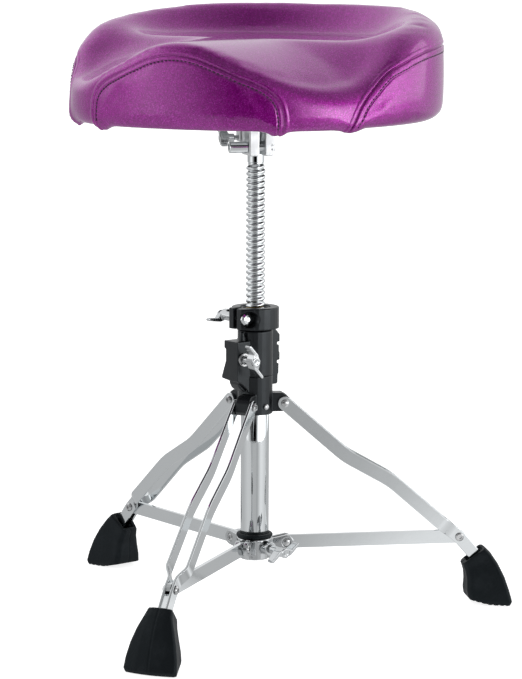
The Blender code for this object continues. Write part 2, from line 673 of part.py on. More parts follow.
# ---------------------------------------------------------------- legs
def bar_stations():
    """Stations along a leg bar from its round top end: radius, height, sideways place and half width."""
    half = BAR_WIDTH / 2
    bends = BAR_BENDS
    first = Vector((bends[1][0] - bends[0][0], bends[1][1] - bends[0][1])).normalized()
    stations = []
    for a in (8, 35, 62):
        back = -half * cos(radians(a))
        r, z = HUB_PIVOT[0] + first.x * back, HUB_PIVOT[1] + first.y * back
        stations.append((r, z, BAR_TOP_W, half * sin(radians(a)), first))
    stations.append((*HUB_PIVOT, BAR_TOP_W, half, first))
    sideways = {1: BAR_TOP_W + 0.0004, 2: BAR_TOP_W + 0.0010, 3: BAR_LOW_W, 4: BAR_PINCH_W, 5: BAR_PINCH_W}
    widths = {1: half, 2: half, 3: half, 4: half * 0.95, 5: half * 0.86}
    for k in range(1, len(bends)):
        before = Vector(bends[k]) - Vector(bends[k - 1])
        after = Vector(bends[min(k + 1, len(bends) - 1)]) - Vector(bends[k])
        tangent = (before.normalized() + after.normalized()).normalized() if after.length else before.normalized()
        if bends[k] == STAY_LEG_PIVOT:  # the bars come together over a short length above it
            step = before.normalized()
            r, z = bends[k][0] - step.x * PINCH_LENGTH, bends[k][1] - step.y * PINCH_LENGTH
            stations.append((r, z, BAR_PINCH_W, half * 0.97, step))
        stations.append((*bends[k], sideways[k], widths[k], tangent))
    return stations


def bar_mesh():
    """The right flat bar of a leg, measured from the upper pivot."""
    rings = []
    for r, z, w, half, tangent in bar_stations():
        normal = Vector((-tangent.y, tangent.x))
        ring = []
        for across, thick in ((1, 1), (1, -1), (-1, -1), (-1, 1)):
            x = w + thick * BAR_THICK / 2
            ring.append((x, -(r + normal.x * half * across), z + normal.y * half * across))
        rings.append(ring)
    bar = rings_mesh("bar", rings)
    top = along_x(cylinder(PIVOT_BOLT_R + GAP, -0.03, 0.03), 0, -HUB_PIVOT[0], HUB_PIVOT[1])
    low = along_x(cylinder(PIVOT_BOLT_R + GAP, -0.03, 0.03), 0, -STAY_LEG_PIVOT[0], STAY_LEG_PIVOT[1])
    made = combined("bar", bar, cuts=[top, low])
    made.transform(Matrix.Translation((0, HUB_PIVOT[0], -HUB_PIVOT[1])))
    return made


def foot_ring(inner, outer, inner_half, outer_half, corner):
    """One outline across the boot: narrow towards the throne, wide outside, and bowed at its outer face."""
    length = hypot(outer[0] - inner[0], outer[1] - inner[1])
    dr, dz = (outer[0] - inner[0]) / length, (outer[1] - inner[1]) / length
    bow = 0.12 * outer_half
    side = [
        (inner_half - corner, 0.0), (inner_half, corner), (outer_half, length - bow - corner * 0.8),
        (outer_half - corner * 0.5, length - bow), (outer_half * 0.5, length - bow * 0.3),
    ]
    outline = side + [(0.0, length)] + [(-w, s) for w, s in reversed(side)]
    return [(w, -(inner[0] + dr * s), inner[1] + dz * s) for w, s in outline]


def sole_cutter():
    """What is taken off below the boot: a heel that rises towards the throne, and grooves across the sole."""
    pitch, groove, depth = 0.0065, 0.0025, 0.0016
    heel = 0.2655  # inside this radius the sole rises
    line = []
    for k in range(8):
        far = 0.2885 - k * pitch
        for r, cut in ((far, 0), (far - (pitch - groove), 0), (far - pitch + groove / 2, depth)):
            rise = max(0.0, (heel - r) * 0.27)
            line.append((r, rise + cut))
    return [(0.3050, -0.0100), (0.3050, 0.0), *line, (0.2200, 0.0120), (0.2200, -0.0100)]


def foot_mesh():
    """Rubber boot with a pocket for the two bars and a ribbed sole, measured from the upper pivot."""
    sections = [  # inner and outer point in the leg's plane, half widths there, corner radius
        ((0.2480, 0.0), (0.2925, 0.0), 0.0180, 0.0290, 0.0040),
        ((0.2445, 0.0045), (0.2948, 0.0045), 0.0185, 0.0300, 0.0040),
        ((0.2425, 0.0150), (0.2915, 0.0160), 0.0168, 0.0288, 0.0040),
        ((0.2428, 0.0270), (0.2862, 0.0310), 0.0148, 0.0256, 0.0040),
        ((0.2415, 0.0365), (0.2790, 0.0455), 0.0124, 0.0210, 0.0036),
        ((0.2390, 0.0436), (0.2708, 0.0575), 0.0108, 0.0160, 0.0032),
        ((0.2377, 0.0457), (0.2634, 0.0648), 0.0098, 0.0136, 0.0028),
    ]
    boot = rings_mesh("boot", [foot_ring(*section) for section in sections])
    end = Vector(BAR_BENDS[-1])
    down = (end - Vector(STAY_LEG_PIVOT)).normalized()
    across = Vector((-down.y, down.x))
    cuts = []
    for start, stop, half, wide in (
        (Vector(STAY_LEG_PIVOT), end + down * 0.0012, 0.0079, 0.0061),
        (Vector(STAY_LEG_PIVOT), Vector(STAY_LEG_PIVOT) + down * 0.0305, 0.0108, 0.0074),
    ):
        corners = [start + across * half, stop + across * half, stop - across * half, start - across * half]
        cuts.append(upright_plate("pocket", [tuple(p) for p in corners], -wide, wide))
    cuts.append(upright_plate("sole", sole_cutter(), -0.05, 0.05))
    made = combined("foot", boot, cuts=cuts)
    made.transform(Matrix.Translation((0, HUB_PIVOT[0], -HUB_PIVOT[1])))
    return made


def stay_mesh():
    """Flat stay from the spider to the leg, measured from its pivot on the spider."""
    half = STAY_WIDTH / 2
    length = STAY_LEG_PIVOT[0] - STAY_SPIDER_PIVOT[0]
    outline = arc((length, 0), half, -90, 90, 6) + arc((0, 0), half, 90, 270, 6)
    plate = upright_plate("stay", outline, -STAY_THICK / 2, STAY_THICK / 2)
    hole = along_x(cylinder(PIVOT_BOLT_R + GAP, -0.02, 0.02), 0, 0, 0)
    return combined("stay", plate, cuts=[hole])


def make_legs(base, spider):
    right_bar = bar_mesh()
    left_bar = placed(right_bar, Matrix.Diagonal((-1, 1, 1, 1)))
    left_bar.flip_normals()
    bars = {"right": right_bar, "left": left_bar}
    boot, stay = foot_mesh(), stay_mesh()
    outer = BAR_TOP_W + BAR_THICK / 2 + GAP
    hub_bolt = pan_bolt("hub_bolt", PIVOT_BOLT_R, 2 * outer, PIVOT_HEAD_R, 0.0026)
    hub_bolt = combined("hub_bolt", hub_bolt, joins=[tail_of(PIVOT_HEAD_R)])
    spider_outer = SPIDER_EAR_OUT - STAY_BOLT_RECESS + GAP
    stay_bolt = pan_bolt("stay_bolt", PIVOT_BOLT_R, 2 * spider_outer, STAY_BOLT_HEAD_R, 0.0021)
    stay_bolt = combined("stay_bolt", stay_bolt, joins=[tail_of(STAY_BOLT_HEAD_R)])
    rivet_in = BAR_PINCH_W - BAR_THICK / 2
    rivet = pan_bolt("rivet", PIVOT_BOLT_R, BAR_THICK + GAP, 0.0050, 0.0022)
    lie = Matrix.Rotation(pi / 2, 4, "Y")
    for name, azimuth in LEG_AZIMUTHS.items():
        spin = Matrix.Rotation(radians(azimuth), 4, "Z")
        at_hub = parent_point(spin @ Matrix.Translation((0, -HUB_PIVOT[0], HUB_PIVOT[1])))
        leg = empty(f"{name}_leg_pivot", base, at_hub, azimuth)
        for side, mesh in bars.items():
            node(f"{name}_leg_bar_{side}", mesh, "chrome", leg)
        node(f"{name}_foot", boot, "rubber", leg)
        node(
            f"{name}_leg_pivot_bolt", hub_bolt, "steel", base,
            parent_point(spin @ Matrix.Translation((-outer, -HUB_PIVOT[0], HUB_PIVOT[1]))),
            (spin @ lie).to_euler(),
        )
        low = (STAY_LEG_PIVOT[0] - HUB_PIVOT[0], STAY_LEG_PIVOT[1] - HUB_PIVOT[1])
        for side, sign in (("right", 1), ("left", -1)):
            turn = lie if sign > 0 else Matrix.Rotation(-pi / 2, 4, "Y")
            node(
                f"{name}_stay_rivet_{side}", rivet, "steel", leg, (sign * rivet_in, -low[0], low[1]), turn.to_euler()
            )
        at_spider = spin @ Matrix.Translation((0, -STAY_SPIDER_PIVOT[0], STAY_SPIDER_PIVOT[1]))
        swing = empty(f"{name}_stay_pivot", spider, parent_point(at_spider), azimuth)
        node(f"{name}_stay", stay, "chrome", swing)
        node(
            f"{name}_stay_bolt", stay_bolt, "steel", spider,
            parent_point(at_spider @ Matrix.Translation((-spider_outer, 0, 0))), (spin @ lie).to_euler(),
        )


def make_spider(spider):
    """Sliding ring at the tube's foot, with two ears for each stay and a wing bolt."""
    ring = turned(
        "spider",
        [(0.0176, SPIDER_BOTTOM), (0.0184, SPIDER_BOTTOM + 0.0010), (0.0184, 0.0705), (0.0196, 0.0760),
         (SPIDER_R, 0.0800), (SPIDER_R, SPIDER_TOP - 0.0010), (SPIDER_R - 0.0010, SPIDER_TOP)],
    )
    r, z = STAY_SPIDER_PIVOT
    ear = [(0.0160, z - 0.0110), *arc((r, z), 0.0083, -75, 90, 7), (0.0160, z + 0.0045)]
    hole = along_x(cylinder(PIVOT_BOLT_R + GAP, -0.02, 0.02), 0, -r, z)
    floor = SPIDER_EAR_OUT - STAY_BOLT_RECESS
    recesses = [
        along_x(cylinder(STAY_BOLT_HEAD_R + GAP, low, high, 16), 0, -r, z)
        for low, high in ((floor, 0.02), (-0.02, -floor))
    ]
    joins, cuts = [], [cylinder(TUBE_R + GAP, 0.0, 0.2, SIDES)]
    for azimuth in LEG_AZIMUTHS.values():
        spin = Matrix.Rotation(radians(azimuth), 4, "Z")
        for low, high in ((SPIDER_EAR_IN, SPIDER_EAR_OUT), (-SPIDER_EAR_OUT, -SPIDER_EAR_IN)):
            joins.append(placed(upright_plate("ear", ear, low, high), spin))
        cuts.append(placed(hole, spin))
        cuts += [placed(recess, spin) for recess in recesses]
    turn = Matrix.Rotation(radians(BOLT_AZIMUTH), 4, "Z")
    boss = placed(cylinder(0.0076, 0.010, 0.0300, 20), Matrix.Rotation(pi / 2, 4, "X"))
    bore = placed(cylinder(0.0037, 0.010, 0.0320), Matrix.Rotation(pi / 2, 4, "X"))
    at_height = Matrix.Translation((0, 0, WING_Z))
    joins.append(placed(boss, turn @ at_height))
    cuts.append(placed(bore, turn @ at_height))
    node("spider", combined("spider", ring, joins=joins, cuts=cuts), "chrome", spider)
    bush = turned_ring(
        "spider_bush",
        [(TUBE_R + GAP, SPIDER_TOP + GAP), (0.0196, SPIDER_TOP + GAP), (0.0204, SPIDER_TOP + 0.0014),
         (0.0204, SPIDER_TOP + 0.0034), (0.0194, SPIDER_TOP + 0.0048), (TUBE_R + GAP, SPIDER_TOP + 0.0048)],
    )
    node("spider_bush", bush, "rubber", spider)
    wing = wing_nut("spider_wing_bolt", 0.0050, 0.0262, stem_r=0.0034, stem_length=0.0138)
    place = turn @ Matrix.Translation((0, -0.0303, WING_Z))
    out = Matrix.Rotation(pi / 2, 4, "X")
    node(
        "spider_wing_bolt", wing, "chrome", spider, parent_point(place),
        (turn @ out @ Matrix.Rotation(radians(23), 4, "Z")).to_euler(),
    )


# ---------------------------------------------------------------- the throne
def main():
    clear_scene()
    root = empty("throne_axis", location=(0, AXIS_Y, 0))
    base = empty("base", root)
    spider = empty("spider_slide", base)
    guide = empty("height_slide", base)
    turning = empty("seat_turn", guide)
    seat = empty("seat_lift", turning, turn=SEAT_TURN)
    make_hub(base)
    make_clamp(base)
    make_collar(base)
    make_spider(spider)
    make_legs(base, spider)
    make_rod(turning, guide)
    make_seat(turning, seat)
    bpy.context.view_layer.update()


main()
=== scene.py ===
"""Looks of the drum throne: saddle seat in sparkle vinyl, threaded post, black castings and a chrome tripod.

Everything is in metres in the frame's own axes: +Z up, the floor at z = 0, the horn and the front leg to -Y.
"""

import json
from math import cos, pi, radians, sin, sqrt

import bmesh
import bpy
from mathutils import Matrix, Vector
from mathutils.bvhtree import BVHTree
from mathutils.kdtree import KDTree


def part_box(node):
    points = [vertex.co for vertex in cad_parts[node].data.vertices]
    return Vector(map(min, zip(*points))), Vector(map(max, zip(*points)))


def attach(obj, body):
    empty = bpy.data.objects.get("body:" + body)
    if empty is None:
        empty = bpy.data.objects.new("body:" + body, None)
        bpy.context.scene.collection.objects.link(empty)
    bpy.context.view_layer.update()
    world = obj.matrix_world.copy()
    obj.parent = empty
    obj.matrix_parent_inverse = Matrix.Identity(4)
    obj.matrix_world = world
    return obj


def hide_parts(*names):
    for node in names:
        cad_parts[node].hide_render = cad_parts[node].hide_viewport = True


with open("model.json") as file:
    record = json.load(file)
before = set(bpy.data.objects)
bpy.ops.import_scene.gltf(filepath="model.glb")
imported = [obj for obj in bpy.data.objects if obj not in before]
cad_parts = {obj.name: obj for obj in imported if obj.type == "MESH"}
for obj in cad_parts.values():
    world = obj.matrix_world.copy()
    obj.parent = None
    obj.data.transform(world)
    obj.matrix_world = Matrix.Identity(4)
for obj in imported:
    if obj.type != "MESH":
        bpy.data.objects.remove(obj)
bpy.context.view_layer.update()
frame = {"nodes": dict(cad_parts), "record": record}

# ---- places taken from the frame
TUBE_LOW, TUBE_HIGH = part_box("base_tube")
AXIS = Vector((0.0, (TUBE_LOW.y + TUBE_HIGH.y) / 2, 0.0))
SEAT_TURN = -3.5  # degrees, how far the seat stands turned from the front leg

# ---- camera
CAMERA_AZIMUTH = 21.7
CAMERA_DISTANCE = 2.7779
CAMERA_HEIGHT = 0.7264
AIM_HEIGHT = 0.3065
AIM_ASIDE = 0.0064
CAMERA_ROLL = 0.23
CAMERA_LENS = 134.3

# ---- the room's light
# By direction: degrees round from the camera to its right, and the light there.
ROOM = (
    (-180, 0.66), (-142, 0.56), (-102, 0.42), (-84, 0.76), (-66, 1.25), (-48, 0.74), (-34, 0.24), (-22, 0.02),
    (-12, 0.0), (8, 0.0), (17, 0.45), (27, 1.60), (38, 3.30), (50, 4.30), (64, 3.30), (87, 1.70), (104, 0.85),
    (125, 0.74), (140, 0.66), (180, 0.66),
)
# The same, for what lies well above the floor.
ROOM_HIGH = (
    (-180, 0.88), (-130, 1.10), (-95, 0.90), (-60, 0.42), (-30, 0.30), (20, 0.28), (60, 0.42), (100, 0.60),
    (140, 0.78), (180, 0.88),
)
# The same, for the glowing table below the throne, which only mirrors see.
CARD_LIGHT = (
    (-180, 0.54), (-137, 0.54), (-103, 0.55), (-60, 0.72), (-36, 0.70), (-28, 0.64), (-26, 0.34),
    (-23, 0.54), (10, 0.53), (19, 0.44), (30, 0.60), (47, 0.92), (60, 0.94), (84, 0.80), (100, 0.68),
    (109, 0.60), (111, 0.40), (114, 0.54), (180, 0.54),
)


def clamped(t):
    return min(1.0, max(0.0, t))


def linked(name, data):
    obj = bpy.data.objects.new(name, data)
    bpy.context.scene.collection.objects.link(obj)
    return obj


def make_camera():
    azimuth = radians(CAMERA_AZIMUTH)
    right = Vector((cos(azimuth), sin(azimuth), 0.0))
    place = AXIS + Vector((sin(azimuth), -cos(azimuth), 0.0)) * CAMERA_DISTANCE
    place.z = CAMERA_HEIGHT
    aim = AXIS + right * AIM_ASIDE + Vector((0, 0, AIM_HEIGHT))
    data = bpy.data.cameras.new("camera")
    data.lens = CAMERA_LENS
    data.sensor_width = 36.0
    data.clip_end = 50.0
    camera = linked("camera", data)
    roll = Matrix.Rotation(radians(CAMERA_ROLL), 3, "Z").to_quaternion()
    camera.location = place
    camera.rotation_mode = "QUATERNION"
    camera.rotation_quaternion = (aim - place).to_track_quat("-Z", "Y") @ roll
    bpy.context.scene.camera = camera


# ---- node helpers
def map_range(tree, value, low, high, to_low, to_high):
    made = tree.nodes.new("ShaderNodeMapRange")
    for key, number in (("From Min", low), ("From Max", high), ("To Min", to_low), ("To Max", to_high)):
        made.inputs[key].default_value = number
    tree.links.new(value, made.inputs["Value"])
    return made.outputs["Result"]


class Nodes:
    """A material's node tree, with short calls for the few node kinds used here."""

    def __init__(self, name):
        self.material = bpy.data.materials.new(name)
        self.material.use_nodes = True
        self.tree = self.material.node_tree
        self.shader = self.tree.nodes["Principled BSDF"]
        self.place = self.add("ShaderNodeTexCoord").outputs["Object"]

    def add(self, kind, **values):
        made = self.tree.nodes.new(kind)
        for key, value in values.items():
            setattr(made, key, value)
        return made

    def link(self, out, into):
        self.tree.links.new(out, into)

    def set(self, **values):
        for key, value in values.items():
            self.shader.inputs[key.replace("_", " ")].default_value = value

    def feed(self, **sockets):
        for key, out in sockets.items():
            self.link(out, self.shader.inputs[key.replace("_", " ")])

    def noise(self, scale, detail=3.0, roughness=0.5, vector=None):
        made = self.add("ShaderNodeTexNoise")
        made.inputs["Scale"].default_value = scale
        made.inputs["Detail"].default_value = detail
        made.inputs["Roughness"].default_value = roughness
        self.link(vector or self.place, made.inputs["Vector"])
        return made.outputs["Fac"]

    def voronoi(self, scale, output="Distance"):
        made = self.add("ShaderNodeTexVoronoi")
        made.inputs["Scale"].default_value = scale
        self.link(self.place, made.inputs["Vector"])
        return made.outputs[output]

    def stretched(self, x, y, z):
        made = self.add("ShaderNodeMapping")
        made.inputs["Scale"].default_value = (x, y, z)
        self.link(self.place, made.inputs["Vector"])
        return made.outputs["Vector"]

    def remap(self, value, *limits):
        return map_range(self.tree, value, *limits)

    def math(self, kind, a, b):
        made = self.add("ShaderNodeMath", operation=kind)
        for index, value in enumerate((a, b)):
            if isinstance(value, (int, float)):
                made.inputs[index].default_value = value
            else:
                self.link(value, made.inputs[index])
        return made.outputs["Value"]

    def mix(self, factor, a, b):
        """A colour between a and b. Either may be a colour or a socket."""
        made = self.add("ShaderNodeMix", data_type="RGBA")
        self.link(factor, made.inputs[0])
        for index, value in ((6, a), (7, b)):
            if isinstance(value, tuple):
                made.inputs[index].default_value = (*value, 1.0)
            else:
                self.link(value, made.inputs[index])
        return made.outputs[2]

    def bump(self, height, strength, distance, normal=None):
        made = self.add("ShaderNodeBump")
        made.inputs["Strength"].default_value = strength
        made.inputs["Distance"].default_value = distance
        self.link(height, made.inputs["Height"])
        if normal:
            self.link(normal, made.inputs["Normal"])
        return made.outputs["Normal"]


def sparkle_vinyl():
    """Clear-faced vinyl over fine metal flake: most flakes lie flat, and a few catch the light."""
    m = Nodes("sparkle_vinyl")
    m.set(Metallic=0.90, Specular_Tint=(0.80, 0.20, 0.76, 1.0), IOR=1.5)
    m.set(Coat_Weight=1.0, Coat_Roughness=0.13, Coat_IOR=1.60)
    fine = m.add("ShaderNodeSeparateColor")
    m.link(m.voronoi(2300.0, "Color"), fine.inputs["Color"])
    coarse = m.add("ShaderNodeSeparateColor")
    m.link(m.voronoi(1250.0, "Color"), coarse.inputs["Color"])
    cloud = m.remap(m.noise(9.0, 2.0), 0.35, 0.65, 0.0, 1.0)
    base = m.mix(cloud, (0.165, 0.0006, 0.138), (0.200, 0.0010, 0.168))
    base = m.mix(m.remap(fine.outputs["Red"], 0.0, 1.0, 0.0, 0.60), base, (0.54, 0.008, 0.46))
    base = m.mix(m.remap(coarse.outputs["Green"], 0.70, 1.0, 0.0, 0.55), base, (0.72, 0.08, 0.70))
    base = m.mix(m.remap(coarse.outputs["Blue"], 0.0, 0.30, 0.55, 0.0), base, (0.078, 0.0, 0.068))
    m.feed(Base_Color=base)
    m.feed(Roughness=m.remap(fine.outputs["Green"], 0.0, 1.0, 0.28, 0.44))
    tilt = m.math("ADD", fine.outputs["Blue"], coarse.outputs["Red"])
    m.feed(Normal=m.bump(tilt, 0.28, 0.0003))
    m.feed(Coat_Normal=m.bump(m.noise(150.0, 2.0), 0.05, 0.0006))
    return m.material


def thread_cord():
    m = Nodes("stitch_thread")
    m.set(Roughness=0.65)
    m.feed(Base_Color=m.mix(m.noise(900.0), (0.012, 0.003, 0.014), (0.035, 0.010, 0.038)))
    m.feed(Normal=m.bump(m.noise(2400.0), 0.5, 0.0002))
    return m.material


def chrome():
    """Bright plating with a fine grain, soft ripples and a few duller patches."""
    m = Nodes("chrome_plate")
    m.set(Metallic=1.0)
    m.feed(Base_Color=m.mix(m.noise(14.0, 4.0), (0.70, 0.725, 0.735), (0.78, 0.80, 0.81)))
    wear = m.remap(m.noise(55.0, 6.0, 0.65), 0.50, 0.78, 0.050, 0.15)
    m.feed(Roughness=wear)
    ripple = m.bump(m.noise(38.0, 2.0), 0.030, 0.004)
    m.feed(Normal=m.bump(m.noise(700.0, 2.0), 0.03, 0.0004, ripple))
    return m.material


def steel(name="plated_steel", tint=(0.66, 0.665, 0.67), rough=(0.16, 0.34), grain=500.0):
    m = Nodes(name)
    m.set(Metallic=1.0)
    dark = tuple(c * 0.86 for c in tint)
    m.feed(Base_Color=m.mix(m.noise(60.0, 4.0), dark, tint))
    m.feed(Roughness=m.remap(m.noise(110.0, 5.0), 0.35, 0.7, *rough))
    m.feed(Normal=m.bump(m.noise(grain, 3.0), 0.10, 0.0004))
    return m.material


def black_casting():
    """Semi-gloss black coat over die-cast metal, a little orange-peeled, with paler worn dust in places."""
    m = Nodes("black_casting")
    m.set(Specular_IOR_Level=0.36, Specular_Tint=(0.84, 0.94, 1.0, 1.0))
    m.set(Coat_Weight=0.25, Coat_Roughness=0.20)
    worn = m.remap(m.noise(42.0, 5.0, 0.6), 0.52, 0.80, 0.0, 0.5)
    m.feed(Base_Color=m.mix(worn, (0.0032, 0.0035, 0.0045), (0.012, 0.013, 0.015)))
    m.feed(Roughness=m.remap(m.noise(85.0, 4.0), 0.3, 0.7, 0.28, 0.42))
    m.feed(Normal=m.bump(m.noise(420.0, 3.0), 0.10, 0.0004))
    return m.material


def rubber():
    """Moulded black rubber: a fine pebbled grain, with grey dust where it scuffs."""
    m = Nodes("foot_rubber")
    m.set(Specular_IOR_Level=0.22, Specular_Tint=(0.75, 0.92, 1.0, 1.0))
    dust = m.remap(m.noise(48.0, 6.0, 0.62), 0.50, 0.80, 0.0, 0.7)
    m.feed(Base_Color=m.mix(dust, (0.0042, 0.0050, 0.0062), (0.017, 0.019, 0.022)))
    m.feed(Roughness=m.remap(dust, 0.0, 1.0, 0.50, 0.75))
    grain = m.math("ADD", m.voronoi(820.0), m.noise(260.0, 4.0))
    m.feed(Normal=m.bump(grain, 0.30, 0.0005))
    return m.material


def brass():
    m = Nodes("nut_brass")
    m.set(Metallic=1.0)
    m.feed(Base_Color=m.mix(m.noise(70.0, 4.0), (0.52, 0.36, 0.15), (0.70, 0.52, 0.24)))
    m.feed(Roughness=m.remap(m.noise(150.0, 4.0), 0.3, 0.7, 0.22, 0.42))
    m.feed(Normal=m.bump(m.noise(520.0), 0.1, 0.0004))
    return m.material


def nylon():
    m = Nodes("guide_nylon")
    m.feed(Base_Color=m.mix(m.noise(80.0), (0.020, 0.020, 0.022), (0.034, 0.034, 0.036)))
    m.feed(Roughness=m.remap(m.noise(200.0), 0.3, 0.7, 0.42, 0.6))
    m.feed(Normal=m.bump(m.noise(900.0), 0.15, 0.0004))
    return m.material


def plywood():
    """Edge-banded plywood: long grain streaks and fine pores."""
    m = Nodes("seat_plywood")
    streaks = m.noise(60.0, 6.0, 0.6, m.stretched(0.12, 1.0, 1.0))
    colour = m.mix(m.remap(streaks, 0.3, 0.7, 0.0, 1.0), (0.36, 0.22, 0.11), (0.56, 0.39, 0.22))
    pores = m.remap(m.noise(900.0, 2.0, 0.5, m.stretched(0.1, 1.0, 1.0)), 0.58, 0.72, 0.0, 0.6)
    m.feed(Base_Color=m.mix(pores, colour, (0.20, 0.11, 0.05)))
    m.feed(Roughness=m.remap(streaks, 0.3, 0.7, 0.55, 0.72))
    m.feed(Normal=m.bump(streaks, 0.2, 0.0006))
    return m.material


def dust_cloth():
    """Black non-woven cover: crossed fibres and small bonded dots."""
    m = Nodes("dust_cloth")
    m.set(Roughness=0.95, Sheen_Weight=0.15, Sheen_Roughness=0.4)
    along = m.noise(500.0, 4.0, 0.6, m.stretched(1.0, 0.15, 1.0))
    across = m.noise(500.0, 4.0, 0.6, m.stretched(0.15, 1.0, 1.0))
    fibres = m.math("ADD", along, across)
    shade = m.remap(fibres, 0.8, 1.2, 0.0, 1.0)
    m.feed(Base_Color=m.mix(shade, (0.010, 0.010, 0.011), (0.040, 0.040, 0.042)))
    dots = m.remap(m.voronoi(420.0), 0.0, 0.35, 0.0, 1.0)
    m.feed(Normal=m.bump(m.math("ADD", fibres, dots), 0.5, 0.0005))
    return m.material


def backdrop():
    """A pale matt floor, lifted a little so that it stays even out to its edge."""
    m = Nodes("studio_floor")
    m.set(Roughness=0.75, Emission_Color=(1.0, 1.0, 1.0, 1.0), Emission_Strength=0.80)
    m.feed(Base_Color=m.mix(m.noise(3.0), (0.80, 0.80, 0.80), (0.82, 0.82, 0.82)))
    return m.material


def turned_ramp(tree, place, lights, rotation):
    """A ramp's colour socket, by direction. lights are (degrees to the camera's right, light)."""
    turned = tree.nodes.new("ShaderNodeMapping")
    turned.inputs["Rotation"].default_value = (0.0, 0.0, rotation)
    tree.links.new(place, turned.inputs["Vector"])
    round_it = tree.nodes.new("ShaderNodeTexGradient")
    round_it.gradient_type = "RADIAL"
    tree.links.new(turned.outputs["Vector"], round_it.inputs["Vector"])
    walls = tree.nodes.new("ShaderNodeValToRGB")
    stops = walls.color_ramp.elements
    stops.remove(stops[-1])
    for index, (turn, light) in enumerate(lights):
        at = (turn + 180) / 360
        stop = stops.new(at) if index else stops[0]
        stop.position = at
        stop.color = (light, light * 1.008, light * 1.016, 1.0)
    tree.links.new(round_it.outputs["Fac"], walls.inputs["Fac"])
    return walls.outputs["Color"]


def floor_card():
    """The table's glow as the plating mirrors it, brighter to the sides, with two narrow joints."""
    m = Nodes("floor_card")
    m.set(Base_Color=(0.0, 0.0, 0.0, 1.0), Specular_IOR_Level=0.0, Roughness=1.0, Emission_Strength=1.0)
    glow = turned_ramp(m.tree, m.place, CARD_LIGHT, radians(90 - CAMERA_AZIMUTH))
    m.feed(Emission_Color=glow)
    return m.material


MATERIALS = {
    "vinyl": sparkle_vinyl(), "thread": thread_cord(), "chrome": chrome(), "steel": steel(),
    "zinc": steel("cast_zinc", (0.80, 0.81, 0.82), (0.30, 0.44), 350.0), "black_metal": black_casting(),
    "forged": steel("forged_chrome", (0.60, 0.615, 0.625), (0.10, 0.20), 300.0),
    "rubber": rubber(), "brass": brass(), "nylon": nylon(), "board": plywood(), "cloth": dust_cloth(),
}

# ---- mesh helpers
def mesh_of(name, points, faces):
    mesh = bpy.data.meshes.new(name)
    mesh.from_pydata([tuple(p) for p in points], [], faces)
    return mesh


def mesh_object(name, points, faces, material, body, replaced=(), smooth_angle=40.0):
    """A piece made of points and faces, smooth up to that angle, riding on a body."""
    return finish_piece(name, mesh_of(name, points, faces), material, body, replaced, smooth_angle)


def outward_faces(mesh):
    shape = bmesh.new()
    shape.from_mesh(mesh)
    bmesh.ops.recalc_face_normals(shape, faces=shape.faces)
    shape.to_mesh(mesh)
    shape.free()


def finish_piece(name, mesh, material, body, replaced=(), smooth_angle=40.0):
    outward_faces(mesh)
    mesh.shade_smooth()
    mesh.set_sharp_from_angle(angle=radians(smooth_angle))
    mesh.materials.clear()
    mesh.materials.append(MATERIALS[material])
    obj = linked(name, mesh)
    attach(obj, body)
    if replaced:
        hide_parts(*replaced)
    return obj


def ring_faces(rings, count, caps=True):
    """Faces between rings of count points each, the end rings capped."""
    faces = []
    for k in range(rings - 1):
        a, b = k * count, (k + 1) * count
        for i in range(count):
            j = (i + 1) % count
            faces.append((a + i, a + j, b + j, b + i))
    if caps:
        faces.append(tuple(range(count)))
        faces.append(tuple((rings - 1) * count + i for i in range(count)))
    return faces


# ---- the seat's shape
SEAT_BOTTOM = 0.5505
PAN_Z = 0.6385
BOARD_R = 0.1783
FOOT_ROUND = 0.0125  # radius of the turn under the wall
BELLY = 0.0012  # how far the wall stands out half way up
RECESS_TOP = SEAT_BOTTOM + 0.0140  # the underside's recess, which holds the board
SEAM_ENDS = (31.6, 55.4)  # degrees from the horn
SEAM_END_HALF = 3.6  # degrees to each side
SEAM_HANG = 0.0060  # how far the cover hangs at a seam's end
FOOT_FULL = 0.0019  # how far the padded foot stands below the board's plane
LEAN = 0.012  # fall per metre to the side
COVER_TUCK = 0.0006  # the cover starts this far inside its final face, and the air pressure brings it out

# These tables go by degrees from the horn, the same to both sides. First, the height of the seat's edge.
CREST = (
    (0, 0.6378), (8, 0.6345), (16, 0.6250), (24, 0.6135), (33, 0.6030), (42, 0.5970), (50, 0.5965),
    (58, 0.6010), (66, 0.6150), (74, 0.6345), (84, 0.6490), (100, 0.6590), (118, 0.6665), (136, 0.6720),
    (158, 0.6745), (180, 0.6745),
)
# How far the wall's foot is drawn up by the cover, wrapped round the foam.
LIFT = ((0, 0.0), (36, 0.0), (55, 0.0012), (76, 0.0030), (100, 0.0046), (140, 0.0050), (180, 0.0045))
# How far the edge falls and how far it comes out as it rounds over.
DROP = ((0, 0.0060), (28, 0.0065), (40, 0.0130), (60, 0.0190), (90, 0.0250), (120, 0.0270), (180, 0.0250))
INSET = ((0, 0.0070), (28, 0.0080), (40, 0.0180), (60, 0.0260), (90, 0.0300), (120, 0.0310), (180, 0.0290))
# The share of the way out where the pan begins to rise, and the seat's radius.
START = ((0, 0.20), (30, 0.20), (50, 0.24), (66, 0.46), (90, 0.72), (120, 0.76), (180, 0.76))
REACH = ((0, 0.1965), (45, 0.2045), (66, 0.2040), (90, 0.2040), (118, 0.2040), (140, 0.2050), (180, 0.2010))

VOXEL = 0.0050
SIM_FRAMES = 20
MOST_MOVE = 0.0014  # how far the air pressure may move the cover
CLOTH = {
    "quality": 6, "mass": 0.3, "tension_stiffness": 40, "compression_stiffness": 40, "shear_stiffness": 10,
    "bending_stiffness": 4, "use_pressure": True, "uniform_pressure_force": 4.0, "vertex_group_mass": "held",
    "pin_stiffness": 5.0,
}


